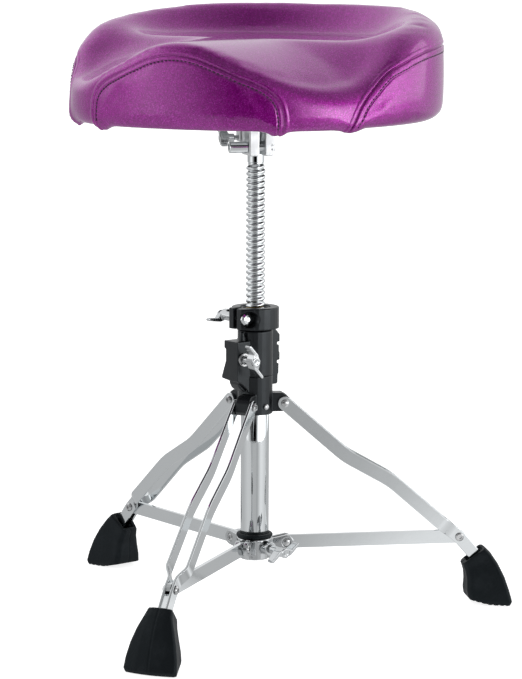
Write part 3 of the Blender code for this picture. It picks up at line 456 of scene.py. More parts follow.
def between(table, angle):
    """A value read off a table of (degrees, value), eased through its points."""
    a = abs((angle + 180) % 360 - 180)
    last = len(table) - 1
    for k in range(last):
        (a0, v0), (a1, v1) = table[k], table[k + 1]
        if a > a1:
            continue
        t = (a - a0) / (a1 - a0)
        before, after = table[max(0, k - 1)], table[min(last, k + 2)]
        slope0 = 0 if k == 0 else (v1 - before[1]) / (a1 - before[0])
        slope1 = 0 if k == last - 1 else (after[1] - v0) / (after[0] - a0)
        span = a1 - a0
        return (
            v0 * (1 + 2 * t) * (1 - t) ** 2 + slope0 * span * t * (1 - t) ** 2
            + v1 * t * t * (3 - 2 * t) - slope1 * span * t * t * (1 - t)
        )
    return table[last][1]


def top_height(share, angle):
    """Height of the seat's top, from 0 at the middle to 1 at the crest."""
    start = between(START, angle)
    t = max(0.0, (share - start) / (1 - start))
    rear = clamped((abs((angle + 180) % 360 - 180) - 50) / 30)
    kick = t * t * (3 - 2 * t)
    bowl = t ** 1.7
    return PAN_Z + (between(CREST, angle) - PAN_Z) * (kick * rear + bowl * (1 - rear))


def edge_point(angle, share):
    """(radius, height) on the rounded edge: share 0 at the crest and 1 where the wall begins."""
    a = share * pi / 2
    inset, drop = between(INSET, angle), between(DROP, angle)
    radius = between(REACH, angle) - inset * (1 - sin(a))
    return radius, between(CREST, angle) - drop * (1 - cos(a))


def foot_height(angle):
    """Where the wall turns under. The doubled cover at each seam's end hangs a little lower."""
    a = abs((angle + 180) % 360 - 180)
    hang = sum(max(0.0, 1 - ((a - end) / SEAM_END_HALF) ** 2) for end in SEAM_ENDS)
    return SEAT_BOTTOM - FOOT_FULL + between(LIFT, angle) - SEAM_HANG * hang


def wall_point(angle, height):
    """(radius, height) on the wall, which bellies a little and turns under at its foot."""
    top, foot = between(CREST, angle) - between(DROP, angle), foot_height(angle)
    share = clamped((height - foot) / (top - foot))
    under = clamped(1 - (height - foot) / FOOT_ROUND)
    turned_in = FOOT_ROUND * (1 - sqrt(1 - under * under))
    return between(REACH, angle) + BELLY * sin(pi * share) - turned_in, height


def seat_profile(angle):
    """(radius, height) points from the middle of the top, over the edge and under to the board."""
    crest_r = between(REACH, angle) - between(INSET, angle)
    points = [(crest_r * s / 26, top_height(s / 26, angle)) for s in range(1, 27)]
    points += [edge_point(angle, s / 6) for s in range(1, 7)]
    top, foot = points[-1][1], foot_height(angle)
    points += [wall_point(angle, top + (foot + FOOT_ROUND - top) * s / 8) for s in range(1, 9)]
    for s in range(1, 5):
        a = s / 4 * pi / 2
        inward, down = FOOT_ROUND * (1 - cos(a)), FOOT_ROUND * (1 - sin(a))
        points.append((between(REACH, angle) - inward, foot + down))
    points.append((BOARD_R + 0.0060, SEAT_BOTTOM))
    points.append((BOARD_R + 0.0006, SEAT_BOTTOM + 0.0004))
    points.append((BOARD_R + 0.0006, RECESS_TOP))
    return points


def eased(t):
    t = clamped(t)
    return t * t * (3 - 2 * t)


def seat_place(angle, radius, height):
    """A point of the seat. The cushion leans a little to one side above its foot."""
    a = radians(angle + SEAT_TURN)
    free = eased((height - SEAT_BOTTOM) / 0.0160)
    aside = radius * sin(a - radians(CAMERA_AZIMUTH))
    return Vector((AXIS.x + radius * sin(a), AXIS.y - radius * cos(a), height - LEAN * aside * free))


def seat_form(count=144, tuck=0.0):
    """Points and faces of the seat's closed form. tuck draws it in a little above its foot."""
    rings = []
    profiles = [seat_profile(360 * i / count) for i in range(count)]
    for k in range(len(profiles[0])):
        rings.append([seat_place(360 * i / count, *profiles[i][k]) for i in range(count)])
    points = [p for ring in rings for p in ring]
    faces = ring_faces(len(rings), count, caps=False)
    middle = len(points)
    points.append(seat_place(0, 0, PAN_Z))
    faces += [(middle, (i + 1) % count, i) for i in range(count)]
    low = (len(rings) - 1) * count
    foot = len(points)
    points.append(seat_place(0, 0, RECESS_TOP))
    faces += [(foot, low + i, low + (i + 1) % count) for i in range(count)]
    if tuck:
        centre = seat_place(0, 0, 0.60)
        points = [
            centre + (p - centre) * (1 - tuck / 0.2) if p.z > SEAT_BOTTOM + 0.002 else p for p in points
        ]
    return points, faces


def evaluated_copy(obj, name):
    """A mesh of the object as its modifiers leave it. The object itself is removed."""
    bpy.context.view_layer.update()
    graph = bpy.context.evaluated_depsgraph_get()
    made = bpy.data.meshes.new_from_object(obj.evaluated_get(graph))
    made.name = name
    bpy.data.objects.remove(obj, do_unlink=True)
    return made


def add_remesh(obj, voxel):
    remesh = obj.modifiers.new("remesh", "REMESH")
    remesh.mode = "VOXEL"
    remesh.voxel_size = voxel


def add_smooth(obj, rounds):
    smooth = obj.modifiers.new("smooth", "SMOOTH")
    smooth.factor = 0.5
    smooth.iterations = rounds


def blown_up(mesh):
    """The cover stretched over its foam: the form as cloth under air pressure, its moves capped."""
    obj = linked("cushion_cloth", mesh)
    held = obj.vertex_groups.new(name="held")
    start = [v.co.copy() for v in mesh.vertices]
    under = [v.index for v in mesh.vertices if v.co.z < SEAT_BOTTOM + 0.0030]
    held.add(under, 1.0, "REPLACE")
    cloth = obj.modifiers.new("cloth", "CLOTH")
    for key, value in CLOTH.items():
        setattr(cloth.settings, key, value)
    cloth.settings.effector_weights.gravity = 0.0
    cloth.collision_settings.use_collision = False
    cloth.collision_settings.use_self_collision = False
    scene = bpy.context.scene
    for step in range(1, SIM_FRAMES + 1):
        scene.frame_set(step)
    made = evaluated_copy(obj, "cushion")
    scene.frame_set(1)
    for vertex, old in zip(made.vertices, start):
        move = vertex.co - old
        if move.length > MOST_MOVE:
            vertex.co = old + move.normalized() * MOST_MOVE
    return made


def cushion_form():
    """The cushion before its seams: remeshed evenly, blown up, smoothed and subdivided."""
    points, faces = seat_form(tuck=COVER_TUCK)
    mesh = mesh_of("cushion", points, faces)
    outward_faces(mesh)
    obj = linked("cushion_form", mesh)
    add_remesh(obj, VOXEL)
    add_smooth(obj, 3)
    mesh = evaluated_copy(obj, "cushion_remeshed")
    mesh = blown_up(mesh)
    obj = linked("cushion_fine", mesh)
    add_smooth(obj, 2)
    fine = obj.modifiers.new("fine", "SUBSURF")
    fine.levels = fine.render_levels = 1
    return evaluated_copy(obj, "cushion")


# ---- seams
# The seams' folds, as (degrees from the horn, height) from the foot of the wall and over to the other foot.
FRONT_HALF = (
    (33.3, 0.5480), (33.3, 0.5580), (33.0, 0.5680), (32.2, 0.5785), (30.2, 0.5880), (26.0, 0.5975),
    (20.5, 0.6050), (14.0, 0.6140), (7.0, 0.6225),
)
FRONT_TOP = (0.0, 0.6258)
REAR_HALF = (
    (54.0, 0.5480), (55.2, 0.5600), (58.0, 0.5780), (62.5, 0.5950), (69.0, 0.6120), (75.5, 0.6200),
    (82.0, 0.6265), (92.0, 0.6320), (110.0, 0.6360), (135.0, 0.6370), (160.0, 0.6370),
)
REAR_TOP = (180.0, 0.6370)
SEAM_STEP = 0.0012
SEAM_ROUNDS = 2
SPLIT_REACH = 0.0150  # the cover is made finer within this distance of a fold
RELIEF_REACH = 0.0140
FRONT_FORM = (0.0058, 0.0009)  # how far the stitches lie from the fold, and the fold's depth
REAR_FORM = (0.0078, 0.0019)
FRONT_PANEL = (0, 0.200, 0.590)  # a place on the panel: degrees, radius and height
REAR_PANEL = (180, 0.206, 0.590)
STITCH_R = 0.00052
# Along a stitch: share of its length, then its lift and its thickness as shares of its radius.
STITCH_FORM = ((0.0, -0.5, 0.55), (0.22, 0.45, 1.0), (0.5, 0.7, 1.05), (0.78, 0.45, 1.0), (1.0, -0.5, 0.55))


def mirrored(half, top):
    return [(-a, z) for a, z in half] + [top] + [(a, z) for a, z in reversed(half)]


def wall_radius(angle, height):
    """The seat's outer radius at a height, on its rounded edge or its wall."""
    crest, drop = between(CREST, angle), between(DROP, angle)
    if height < crest - drop:
        return wall_point(angle, height)[0]
    cosine = clamped(1 - (crest - height) / drop)
    return between(REACH, angle) - between(INSET, angle) * (1 - sqrt(1 - cosine * cosine))


def seam_points(half, top, wrap=False):
    """An even polyline along a seam, eased through its control points, at the seat's surface."""
    controls = mirrored(half, top)
    if wrap:
        controls = [(a if a >= 0 else a + 360, z) for a, z in controls]
        controls.sort()
    dense = []
    for k in range(len(controls) - 1):
        p0, p1, p2, p3 = (Vector(controls[min(max(k + d, 0), len(controls) - 1)]) for d in (-1, 0, 1, 2))
        for step in range(40):
            t = step / 40
            p = 0.5 * (
                2 * p1 + (p2 - p0) * t + (2 * p0 - 5 * p1 + 4 * p2 - p3) * t * t
                + (3 * p1 - p0 - 3 * p2 + p3) * t ** 3
            )
            dense.append(seat_place(p.x, wall_radius(p.x, p.y), p.y))
    return even_line(dense, SEAM_STEP)


def even_line(points, step):
    """The same polyline with its points evenly spaced."""
    made = [points[0]]
    carried = 0.0
    for a, b in zip(points, points[1:]):
        length = (b - a).length
        while carried + length >= step:
            a = a + (b - a) * ((step - carried) / length)
            length = (b - a).length
            made.append(a)
            carried = 0.0
        carried += length
    return made


class Seam:
    """A seam's fold along a line on the cushion. inside is a point on the gusset it bounds."""

    def __init__(self, line, surface, inside, to_stitch, depth):
        self.to_stitch, self.depth = to_stitch, depth
        self.points, self.normals, self.tangents = [], [], []
        for p in line:
            place, normal, _, _ = surface.find_nearest(p)
            self.points.append(place)
            self.normals.append(normal)
        last = len(self.points) - 1
        for k in range(len(self.points)):
            run = self.points[min(k + 3, last)] - self.points[max(k - 3, 0)]
            self.tangents.append(run.normalized())
        self.tree = KDTree(len(self.points))
        for index, p in enumerate(self.points):
            self.tree.insert(p, index)
        self.tree.balance()
        self.sign = 1.0
        self.sign = 1.0 if self.distance(inside) > 0 else -1.0

    def distance(self, p):
        """Signed distance from the fold across the surface, positive on the gusset."""
        _, index, _ = self.tree.find(p)
        offset = p - self.points[index]
        offset -= self.tangents[index] * offset.dot(self.tangents[index])
        side = self.tangents[index].cross(self.normals[index])
        return self.sign * (1 if offset.dot(side) > 0 else -1) * offset.length

    def gusset_way(self, index):
        return self.tangents[index].cross(self.normals[index]) * self.sign


def seam_relief(d, to_stitch, depth):
    """How far the cover stands out by distance from the fold: a groove, a welt and a stitched dip."""
    half = 0.0015 if d > 0 else 0.0010
    groove = -depth * max(0.0, 1 - (d / half) ** 2)
    lip = 0.0006 * max(0.0, 1 - ((d + 0.0032) / 0.0026) ** 2)
    welt = 0.0005 * max(0.0, 1 - ((d - to_stitch * 0.55) / (to_stitch * 0.45)) ** 2)
    dip = -0.0007 * max(0.0, 1 - ((d - to_stitch) / 0.0013) ** 2)
    return groove + lip + welt + dip


def refine_near(mesh, seams, reach, rounds):
    """Splits the cover's edges near the seams, so that it can hold their relief."""
    shape = bmesh.new()
    shape.from_mesh(mesh)
    for _ in range(rounds):
        near = set()
        for vertex in shape.verts:
            for seam in seams:
                _, _, away = seam.tree.find(vertex.co)
                if away < reach:
                    near.add(vertex)
                    break
        edges = [e for e in shape.edges if e.verts[0] in near and e.verts[1] in near]
        bmesh.ops.subdivide_edges(shape, edges=edges, cuts=1, use_grid_fill=True, smooth=0.0)
        reach *= 0.86
    shape.normal_update()
    shape.to_mesh(mesh)
    shape.free()


def surface_of(mesh):
    return BVHTree.FromPolygons([v.co for v in mesh.vertices], [tuple(p.vertices) for p in mesh.polygons])


def make_cushion():
    """The cushion, with the relief of its two seams, and their stitches."""
    mesh = cushion_form()
    surface = surface_of(mesh)
    front = Seam(seam_points(FRONT_HALF, FRONT_TOP), surface, seat_place(*FRONT_PANEL), *FRONT_FORM)
    rear = Seam(seam_points(REAR_HALF, REAR_TOP, wrap=True), surface, seat_place(*REAR_PANEL), *REAR_FORM)
    seams = (front, rear)
    refine_near(mesh, seams, SPLIT_REACH, SEAM_ROUNDS)
    normals = [v.normal.copy() for v in mesh.vertices]
    for vertex, normal in zip(mesh.vertices, normals):
        move = 0.0
        for seam in seams:
            _, _, away = seam.tree.find(vertex.co)
            if away < RELIEF_REACH:
                move += seam_relief(seam.distance(vertex.co), seam.to_stitch, seam.depth)
        vertex.co += normal * move
    cushion = finish_piece("cushion", mesh, "vinyl", "seat", ("seat_cushion",), 180.0)
    surface = surface_of(mesh)
    for name, seam in (("front", front), ("rear", rear)):
        make_stitches(f"{name}_seam_stitches", seam, surface)


def make_stitches(name, seam, surface):
    """A row of thread stitches beside a seam, each a short arched capsule sunk at its ends."""
    line = []
    for index in range(len(seam.points)):
        p = seam.points[index] + seam.gusset_way(index) * seam.to_stitch
        place, normal, _, _ = surface.find_nearest(p)
        line.append((place, normal))
    points, faces = [], []
    stride = 4
    for k in range(2, len(line) - stride, stride):
        (a, normal), (b, _) = line[k], line[k + 3]
        if a.z < SEAT_BOTTOM + 0.001:
            continue
        run = b - a
        across = normal.cross(run).normalized() * STITCH_R
        first = len(points)
        for share, lift, fat in STITCH_FORM:
            centre = a + run * share + normal * (STITCH_R * lift)
            for turn in range(6):
                angle = turn * pi / 3
                points.append(centre + (across * cos(angle) + normal * (STITCH_R * sin(angle))) * fat)
        faces += [tuple(first + i for i in face) for face in ring_faces(5, 6)]
    return mesh_object(name, points, faces, "thread", "seat", smooth_angle=70.0)


# ---- the threaded post
PITCH = 0.0064
THREAD_R = 0.0107
CORE_R = 0.0086
NECK_R = 0.0094
SHOULDER = 0.5060  # height where the neck begins
# Share of the pitch, and share of the thread's depth.
THREAD_FORM = (
    (0.0, 0.0), (0.10, 0.05), (0.22, 0.70), (0.34, 0.96),
    (0.50, 1.0), (0.66, 0.96), (0.78, 0.70), (0.90, 0.05),
)


def make_post():
    """The post with its helical thread. Its rows of points climb with the thread."""
    low, high = (corner.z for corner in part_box("height_rod"))
    start, end = low + 0.0030, SHOULDER - 0.0040
    sides, rows = 40, len(THREAD_FORM)
    turns = int((end - start) / PITCH) + 3
    points, index = [], {}
    for j in range(turns * rows):
        share, depth = THREAD_FORM[j % rows]
        for i in range(sides):
            z = start + PITCH * (j // rows - 1 + share + i / sides)
            fade = clamped((z - start) / PITCH) * clamped((end - z) / (PITCH * 0.7))
            z = min(end, max(start, z))
            radius = CORE_R + (THREAD_R - CORE_R) * depth * fade
            a = 2 * pi * i / sides
            index[i, j] = len(points)
            points.append(AXIS + Vector((radius * cos(a), radius * sin(a), z)))
    faces = []
    for j in range(turns * rows):
        for i in range(sides):
            k, lift = (i + 1, 0) if i + 1 < sides else (0, rows)
            if j + lift + 1 >= turns * rows:
                continue
            faces.append((index[i, j], index[k, j + lift], index[k, j + lift + 1], index[i, j + 1]))
    mesh = mesh_of("post", points, faces)
    shape = bmesh.new()
    shape.from_mesh(mesh)
    bmesh.ops.remove_doubles(shape, verts=shape.verts, dist=0.00002)
    bmesh.ops.dissolve_degenerate(shape, edges=shape.edges, dist=0.00002)
    flat = [f for f in shape.faces if f.calc_area() < 1e-12]
    bmesh.ops.delete(shape, geom=flat, context="FACES")
    shape.to_mesh(mesh)
    shape.free()
    finish_piece("post_thread", mesh, "chrome", "rod", ("height_rod",), 60.0)
    ends = [
        [(0.0, low), (0.0072, low), (CORE_R, low + 0.0014), (CORE_R, start + 0.0010), (0.0, start + 0.0010)],
        [
            (0.0, end - 0.0010), (CORE_R, end - 0.0010), (CORE_R, SHOULDER - 0.0030),
            (NECK_R, SHOULDER - 0.0024), (NECK_R, high - 0.0012), (0.0086, high - 0.0003), (0.0078, high),
            (0.0, high),
        ],
    ]
    for name, profile in zip(("post_foot", "post_top"), ends):
        lathe(name, profile, "chrome", "rod")


def lathe(name, profile, material, body, replaced=(), sides=40, matrix=None, smooth_angle=35.0):
    """A piece turned from (radius, height) points, about the throne's axis or under the given matrix."""
    matrix = matrix or Matrix.Translation(AXIS)
    points, faces = [], []
    rows = []
    for radius, z in profile:
        if radius < 1e-6:
            rows.append([len(points)] * sides)
            points.append(matrix @ Vector((0, 0, z)))
        else:
            rows.append(list(range(len(points), len(points) + sides)))
            for i in range(sides):
                a = 2 * pi * i / sides
                points.append(matrix @ Vector((radius * cos(a), radius * sin(a), z)))
    loop = profile[0][0] > 1e-6
    for k in range(len(rows) if loop else len(rows) - 1):
        a, b = rows[k], rows[(k + 1) % len(rows)]
        for i in range(sides):
            j = (i + 1) % sides
            face = list(dict.fromkeys((a[i], a[j], b[j], b[i])))
            if len(face) > 2:
                faces.append(tuple(face))
    return mesh_object(name, points, faces, material, body, replaced, smooth_angle)


# ---- the frame's own places
def body_of(node):
    return next(body for body, nodes in frame["record"]["behaviour"]["bodies"].items() if node in nodes)


def slot_of(node):
    return next(part["material_slot"] for part in frame["record"]["subparts"] if part["node"] == node)


def joint_place(name):
    """A joint's point and its axis."""
    joint = next(j for j in frame["record"]["behaviour"]["joints"] if j["name"] == name)
    return Vector(joint["pos_m"]), Vector(joint["axis"])


def node_mesh(node):
    made = frame["nodes"][node].data.copy()
    made.materials.clear()
    return made


# ---- cast, forged and moulded pieces
# The voxel each piece is remeshed at, and how many times it is smoothed, which rounds its edges.
ROUNDED = {
    "lock_collar": (0.00055, 5), "clamp_body": (0.00060, 5), "leg_hub": (0.00060, 5),
    "seat_bracket": (0.00065, 5), "spider": (0.00048, 7),
    "clamp_wing_bolt": (0.00036, 9), "collar_wing_nut": (0.00036, 9),
    "spider_wing_bolt": (0.00036, 9), "seat_wing_bolt": (0.00036, 9),
    "front_foot": (0.00090, 7), "right_foot": (0.00090, 7), "left_foot": (0.00090, 7),
}
PARTING_HALF = 0.0011  # half the width of a foot's parting line
PARTING_DEPTH = 0.0006
PARTING_FOOT = 0.0030  # it ends at this height


def rounded_mesh(node, voxel, rounds):
    """The node's own shape with its edges rounded over."""
    obj = linked(node + "_form", node_mesh(node))
    add_remesh(obj, voxel)
    add_smooth(obj, rounds)
    return evaluated_copy(obj, node + "_rounded")


def make_rounded():
    for node, (voxel, rounds) in ROUNDED.items():
        slot = slot_of(node)
        mesh = rounded_mesh(node, voxel, rounds)
        if node.endswith("_foot"):
            score_foot(mesh, node)
        material = "forged" if slot == "chrome" else slot
        finish_piece(node + "_finished", mesh, material, body_of(node), (node,), 180.0)


def score_foot(mesh, node):
    """The mould's parting line: a fine groove round the boot, in the leg's plane."""
    pivot, axis = joint_place({"front": "leg_fold"}.get(node[:-5], node[:-5] + "_leg_fold"))
    normals = [v.normal.copy() for v in mesh.vertices]
    for vertex, normal in zip(mesh.vertices, normals):
        aside = abs((vertex.co - pivot).dot(axis))
        if aside < PARTING_HALF and vertex.co.z > PARTING_FOOT:
            vertex.co -= normal * PARTING_DEPTH * (1 - aside / PARTING_HALF)


# ---- leg bars and stays
# A leg bar's route, as (radius, height) from the hub's pivot to the foot.
BAR_BENDS = (
    (0.0320, 0.2358), (0.1016, 0.1746), (0.1535, 0.1452),
    (0.2120, 0.0940), (0.2340, 0.0767), (0.2690, 0.0355),
)
BAR_TOP, BAR_WAIST, STAY_LEG_PIVOT = BAR_BENDS[0], BAR_BENDS[3], BAR_BENDS[4]
# How far the bar's mid-plane lies from the leg's: at its top, at the waist, and below the pinch.
TOP_ASIDE, WAIST_ASIDE, PINCHED_ASIDE = 0.0100, 0.0114, 0.0042
BAR_HALF = 0.00775
BAR_END_HALF = 0.00667
BAR_THICK = 0.0030
BAR_ROUND = 0.0007
BAR_STEP = 0.0022
LEG_TURNS = {"front": 0.0, "right": 120.0, "left": 240.0}
STAY_SPIDER_PIVOT = (0.0353, 0.0767)
TUBE_WALL = 0.0018
BEND_ROUND = 0.0100  # how far from a bend its curve starts
PINCH = (0.0270, 0.0090)  # where the bars come together above the stay's pivot, and how softly


def strip_outline(half, thick, edge, steps=3):
    """A flat bar's section as (across, thick) points: rounded corners, and a point on each flat beside them."""
    points = []
    past = edge * 0.4
    for across, side, start in ((1, 1, 0), (-1, 1, 90), (-1, -1, 180), (1, -1, 270)):
        centre = (across * (half - edge), side * (thick / 2 - edge))
        corner = [(centre[0] + edge * cos(radians(start + 90 * k / steps)),
                   centre[1] + edge * sin(radians(start + 90 * k / steps))) for k in range(steps + 1)]
        before = (sin(radians(start)) * past, -cos(radians(start)) * past)
        after = (-cos(radians(start)) * past, -sin(radians(start)) * past)
        points.append((corner[0][0] + before[0], corner[0][1] + before[1]))
        points += corner
        points.append((corner[-1][0] + after[0], corner[-1][1] + after[1]))
    return points


def softened_route(bends, reach, steps=6):
    """The bends as one line with each corner rounded over by a short parabola."""
    route = [Vector(bends[0])]
    for k in range(1, len(bends) - 1):
        before, corner, after = (Vector(bends[k + d]) for d in (-1, 0, 1))
        enter = corner + (before - corner).normalized() * reach
        leave = corner + (after - corner).normalized() * reach
        for step in range(steps + 1):
            t = step / steps
            route.append(enter * (1 - t) ** 2 + corner * 2 * t * (1 - t) + leave * t * t)
    route.append(Vector(bends[-1]))
    return route


def bar_aside(place):
    """How far the bar's mid-plane lies from the leg's plane, at (radius, height) on its route."""
    lower, waist, top = Vector(STAY_LEG_PIVOT), Vector(BAR_WAIST), Vector(BAR_TOP)
    down = (lower - waist).normalized()
    above = (lower - Vector(place)).dot(down)
    pinch = eased((above - PINCH[1]) / (PINCH[0] - PINCH[1]) if above > PINCH[1] else 0.0)
    share = min(1.0, (Vector(place) - top).length / (waist - top).length)
    wide = TOP_ASIDE + (WAIST_ASIDE - TOP_ASIDE) * share
    return PINCHED_ASIDE + (wide - PINCHED_ASIDE) * pinch


def bar_stations():
    """(radius, height), half width and sideways place along a bar, from its round top end down."""
    route = even_line(softened_route(BAR_BENDS, BEND_ROUND), BAR_STEP)
    down = (route[1] - route[0]).normalized()
    stations = []
    for turn in (10, 25, 40, 57, 74):
        back = BAR_HALF * cos(radians(turn))
        stations.append((route[0] - down * back, BAR_HALF * sin(radians(turn)), TOP_ASIDE))
    narrowing = Vector(BAR_WAIST).x
    for place in route:
        low = clamped((place.x - narrowing) / (BAR_BENDS[-1][0] - narrowing))
        stations.append((place, BAR_HALF + (BAR_END_HALF - BAR_HALF) * low, bar_aside(place)))
    return stations


def leg_matrix(leg):
    return Matrix.Translation(AXIS) @ Matrix.Rotation(radians(LEG_TURNS[leg]), 4, "Z")


def swept_bar(leg, side):
    """A flat bar with rounded edges, bent and pinched along its leg."""
    sign = 1 if side == "right" else -1
    turned = leg_matrix(leg)
    stations = bar_stations()
    line = [Vector((sign * aside, -place.x, place.y)) for place, _, aside in stations]
    points = []
    for k, (_, half, _) in enumerate(stations):
        run = (line[min(k + 1, len(line) - 1)] - line[max(k - 1, 0)]).normalized()
        across = run.cross(Vector((1, 0, 0))).normalized()
        outward = across.cross(run)
        for a, t in strip_outline(half, BAR_THICK, min(BAR_ROUND, half * 0.6)):
            points.append(turned @ (line[k] + across * a + outward * t))
    faces = ring_faces(len(stations), len(points) // len(stations))
    node = f"{leg}_leg_bar_{side}"
    mesh_object(f"{leg}_bar_{side}", points, faces, "chrome", body_of(node), (node,), 50.0)


def leg_point(leg, aside, radius, height):
    return leg_matrix(leg) @ Vector((aside, -radius, height))


def reach_along(node, point, axis):
    """How far the node reaches each way along an axis, from a point."""
    along = [(v.co - point).dot(axis) for v in frame["nodes"][node].data.vertices]
    return min(along), max(along)


def head_profile(end, way, radius, height, socket, shank):
    """A round bolt head from its middle to its shank. way is 1 at the bolt's high end, -1 at its low end."""
    if socket:
        crown = [(0.0, height * 0.72), (socket, height * 0.72), (socket, 0.0001), (radius * 0.70, 0.0)]
    else:
        crown = [(0.0, 0.0), (radius * 0.35, height * 0.05), (radius * 0.62, height * 0.20)]
    crown += [(radius * 0.86, height * 0.36), (radius * 0.97, height * 0.62), (radius, height * 0.85)]
    crown += [(radius, height), (shank, height)]
    return [(r, end - way * z) for r, z in crown]


def turned_bolt(node, point, axis, head, tail=None, shank=0.0030, socket=0.0):
    """A bolt along an axis, its head at the axis's far end. head and tail are each (radius, height)."""
    low, high = reach_along(node, point, axis)
    profile = head_profile(high, 1, *head, socket, shank)
    if tail:
        profile += reversed(head_profile(low, -1, *tail, 0.0, shank))
    else:
        profile += [(shank, low + 0.0006), (shank - 0.0006, low), (0.0, low)]
    matrix = Matrix.Translation(point) @ axis.to_track_quat("Z", "Y").to_matrix().to_4x4()
    slot = slot_of(node)
    lathe(node + "_finished", profile, slot, body_of(node), (node,), 28, matrix, 38.0)


def make_legs():
    """The six bars, and the bolts and rivets they and the stays turn on."""
    for leg in LEG_TURNS:
        aside = leg_point(leg, 1, 0, 0) - leg_point(leg, 0, 0, 0)
        for side, way in (("right", aside), ("left", -aside)):
            swept_bar(leg, side)
            foot = leg_point(leg, 0, *STAY_LEG_PIVOT)
            turned_bolt(f"{leg}_stay_rivet_{side}", foot, way, (0.0050, 0.0022), socket=0.0020)
        hub, ring = leg_point(leg, 0, *BAR_TOP), leg_point(leg, 0, *STAY_SPIDER_PIVOT)
        turned_bolt(f"{leg}_leg_pivot_bolt", hub, aside, (0.0045, 0.0026), (0.0045, 0.0018), socket=0.0022)
        turned_bolt(f"{leg}_stay_bolt", ring, aside, (0.0046, 0.0021), (0.0046, 0.0018), socket=0.0022)


def make_tube():
    """The base tube and the rubber ring on the spider, turned finely enough to mirror the room."""
    low, high = TUBE_LOW.z, TUBE_HIGH.z
    radius = (TUBE_HIGH.x - TUBE_LOW.x) / 2
    bore, edge = radius - TUBE_WALL, 0.0004
    profile = [
        (bore, low + edge), (bore + edge, low), (radius - edge, low), (radius, low + edge),
        (radius, high - edge), (radius - edge, high), (bore + edge, high), (bore, high - edge),
    ]
    lathe("tube", profile, "chrome", "base", ("base_tube",), 96, None, 50.0)
    (ring_low, ring_high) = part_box("spider_bush")
    outer, middle = (ring_high.x - ring_low.x) / 2, (ring_low.z + ring_high.z) / 2
    half = (ring_high.z - ring_low.z) / 2
    inner = radius + 0.0003
    bulge = outer - half * 0.95
    profile = [(inner, ring_high.z), (inner, ring_low.z)]
    for step in range(9):
        a = pi * (step / 8 - 0.5)
        profile.append((bulge + (outer - bulge) * cos(a), middle + half * sin(a)))
    lathe("bush", profile, "rubber", body_of("spider_bush"), ("spider_bush",), 64, None, 60.0)


# ---- CAD nodes that stay
KEEP_SMOOTH = 32.0
EDGE_BEVEL = 0.0004
BEVELLED = (
    "front_stay", "right_stay", "left_stay", "clamp_washer", "collar_bolt", "seat_clamp_bolt",
    "seat_clamp_nut", "hub_screw_back", "hub_screw_left", "hub_screw_right",
)


def make_bevelled():
    """Stamped and machined pieces: the frame's own shape with its sharp edges eased."""
    for node in BEVELLED:
        obj = linked(node + "_form", node_mesh(node))
        bevel = obj.modifiers.new("bevel", "BEVEL")
        bevel.width = EDGE_BEVEL
        bevel.segments = 2
        bevel.limit_method = "ANGLE"
        bevel.angle_limit = radians(38.0)
        slot = slot_of(node)
        mesh = evaluated_copy(obj, node + "_eased")
        finish_piece(node + "_finished", mesh, slot, body_of(node), (node,))


def finish_frame():
    """Gives each CAD node that stays its material, and smooths its round faces."""
    for node, obj in frame["nodes"].items():
        if obj.hide_render:
            continue
        for place in obj.material_slots:
            place.material = MATERIALS[slot_of(node)]
        obj.data.shade_smooth()
        obj.data.set_sharp_from_angle(angle=radians(KEEP_SMOOTH))


# ---- studio
FLOOR_HALF = 60.0
CARD_R = 2.2
# Degrees to the camera's right, height, and watts.
SOFTBOXES = {"left_softbox": (-84, 1.35, 6), "right_softbox": (98, 1.30, 12)}
SOFTBOX_OUT = 2.4
SOFTBOX_SIZE = (2.2, 1.8)


def around(turn, out, height):
    """A place round the throne: degrees from the camera's side to its right, distance out, and height."""
    a = radians(CAMERA_AZIMUTH + turn)
    return AXIS + Vector((sin(a) * out, -cos(a) * out, height))


def area_light(name, place, aim, size, size_y, power):
    data = bpy.data.lights.new(name, "AREA")
    data.shape = "RECTANGLE"
    data.size = size
    data.size_y = size_y
    data.energy = power
    lamp = linked(name, data)
    lamp.location = place
    lamp.rotation_euler = (Vector(aim) - place).to_track_quat("-Z", "Y").to_euler()


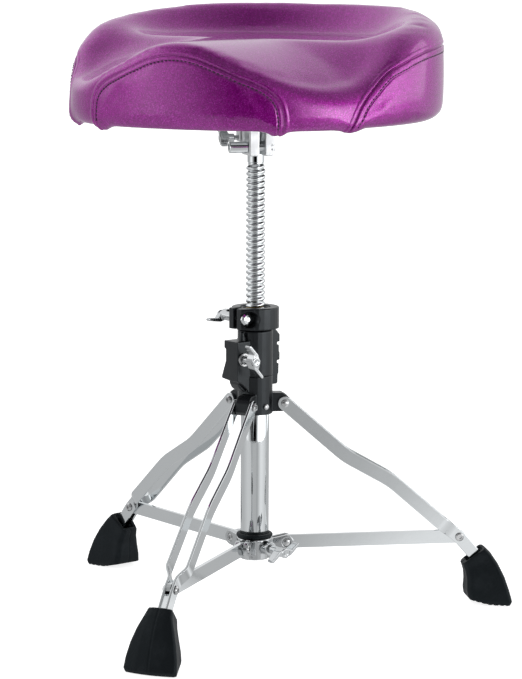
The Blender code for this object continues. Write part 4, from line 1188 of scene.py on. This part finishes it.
def make_room():
    """A grey room whose walls brighten to the sides and behind, for the plating to mirror."""
    world = bpy.data.worlds.new("studio")
    world.use_nodes = True
    tree = world.node_tree
    ground = tree.nodes["Background"]
    place = tree.nodes.new("ShaderNodeTexCoord").outputs["Generated"]
    turn = radians(90 - CAMERA_AZIMUTH)
    low, high = turned_ramp(tree, place, ROOM, turn), turned_ramp(tree, place, ROOM_HIGH, turn)
    height = tree.nodes.new("ShaderNodeSeparateXYZ")
    tree.links.new(place, height.inputs["Vector"])
    raised = map_range(tree, height.outputs["Z"], 0.05, 0.24, 0.0, 1.0)
    strength = map_range(tree, height.outputs["Z"], 0.72, 0.94, 1.0, 0.62)
    both = tree.nodes.new("ShaderNodeMix")
    both.data_type = "RGBA"
    tree.links.new(raised, both.inputs[0])
    tree.links.new(low, both.inputs[6])
    tree.links.new(high, both.inputs[7])
    tree.links.new(both.outputs[2], ground.inputs["Color"])
    tree.links.new(strength, ground.inputs["Strength"])
    bpy.context.scene.world = world


def stage_plate(name, rim, material, place):
    mesh = mesh_of(name, rim, [tuple(range(len(rim)))])
    mesh.materials.append(material)
    plate = linked(name, mesh)
    plate.location = place
    return plate


def make_studio():
    """A pale floor, its edge far off, and a softbox on each side."""
    corners = [(x * FLOOR_HALF, y * FLOOR_HALF, 0.0) for x, y in ((-1, -1), (1, -1), (1, 1), (-1, 1))]
    floor = stage_plate("studio_floor", corners, backdrop(), (0, 0, -0.0004))
    floor.visible_glossy = False
    make_card()
    make_room()
    seat = (0.0, AXIS.y, 0.50)
    for name, (turn, height, power) in SOFTBOXES.items():
        area_light(name, around(turn, SOFTBOX_OUT, height), seat, *SOFTBOX_SIZE, power)
    bpy.context.scene.view_settings.view_transform = "Standard"


def make_card():
    """A round glowing table under the throne that only mirrors see."""
    rim = [(CARD_R * cos(2 * pi * i / 64), CARD_R * sin(2 * pi * i / 64), 0.0) for i in range(64)]
    card = stage_plate("floor_card", rim, floor_card(), AXIS - Vector((0, 0, 0.0002)))
    card.visible_camera = card.visible_diffuse = card.visible_shadow = False


make_camera()
make_cushion()
make_post()
make_tube()
make_legs()
make_rounded()
make_bevelled()
finish_frame()
make_studio()
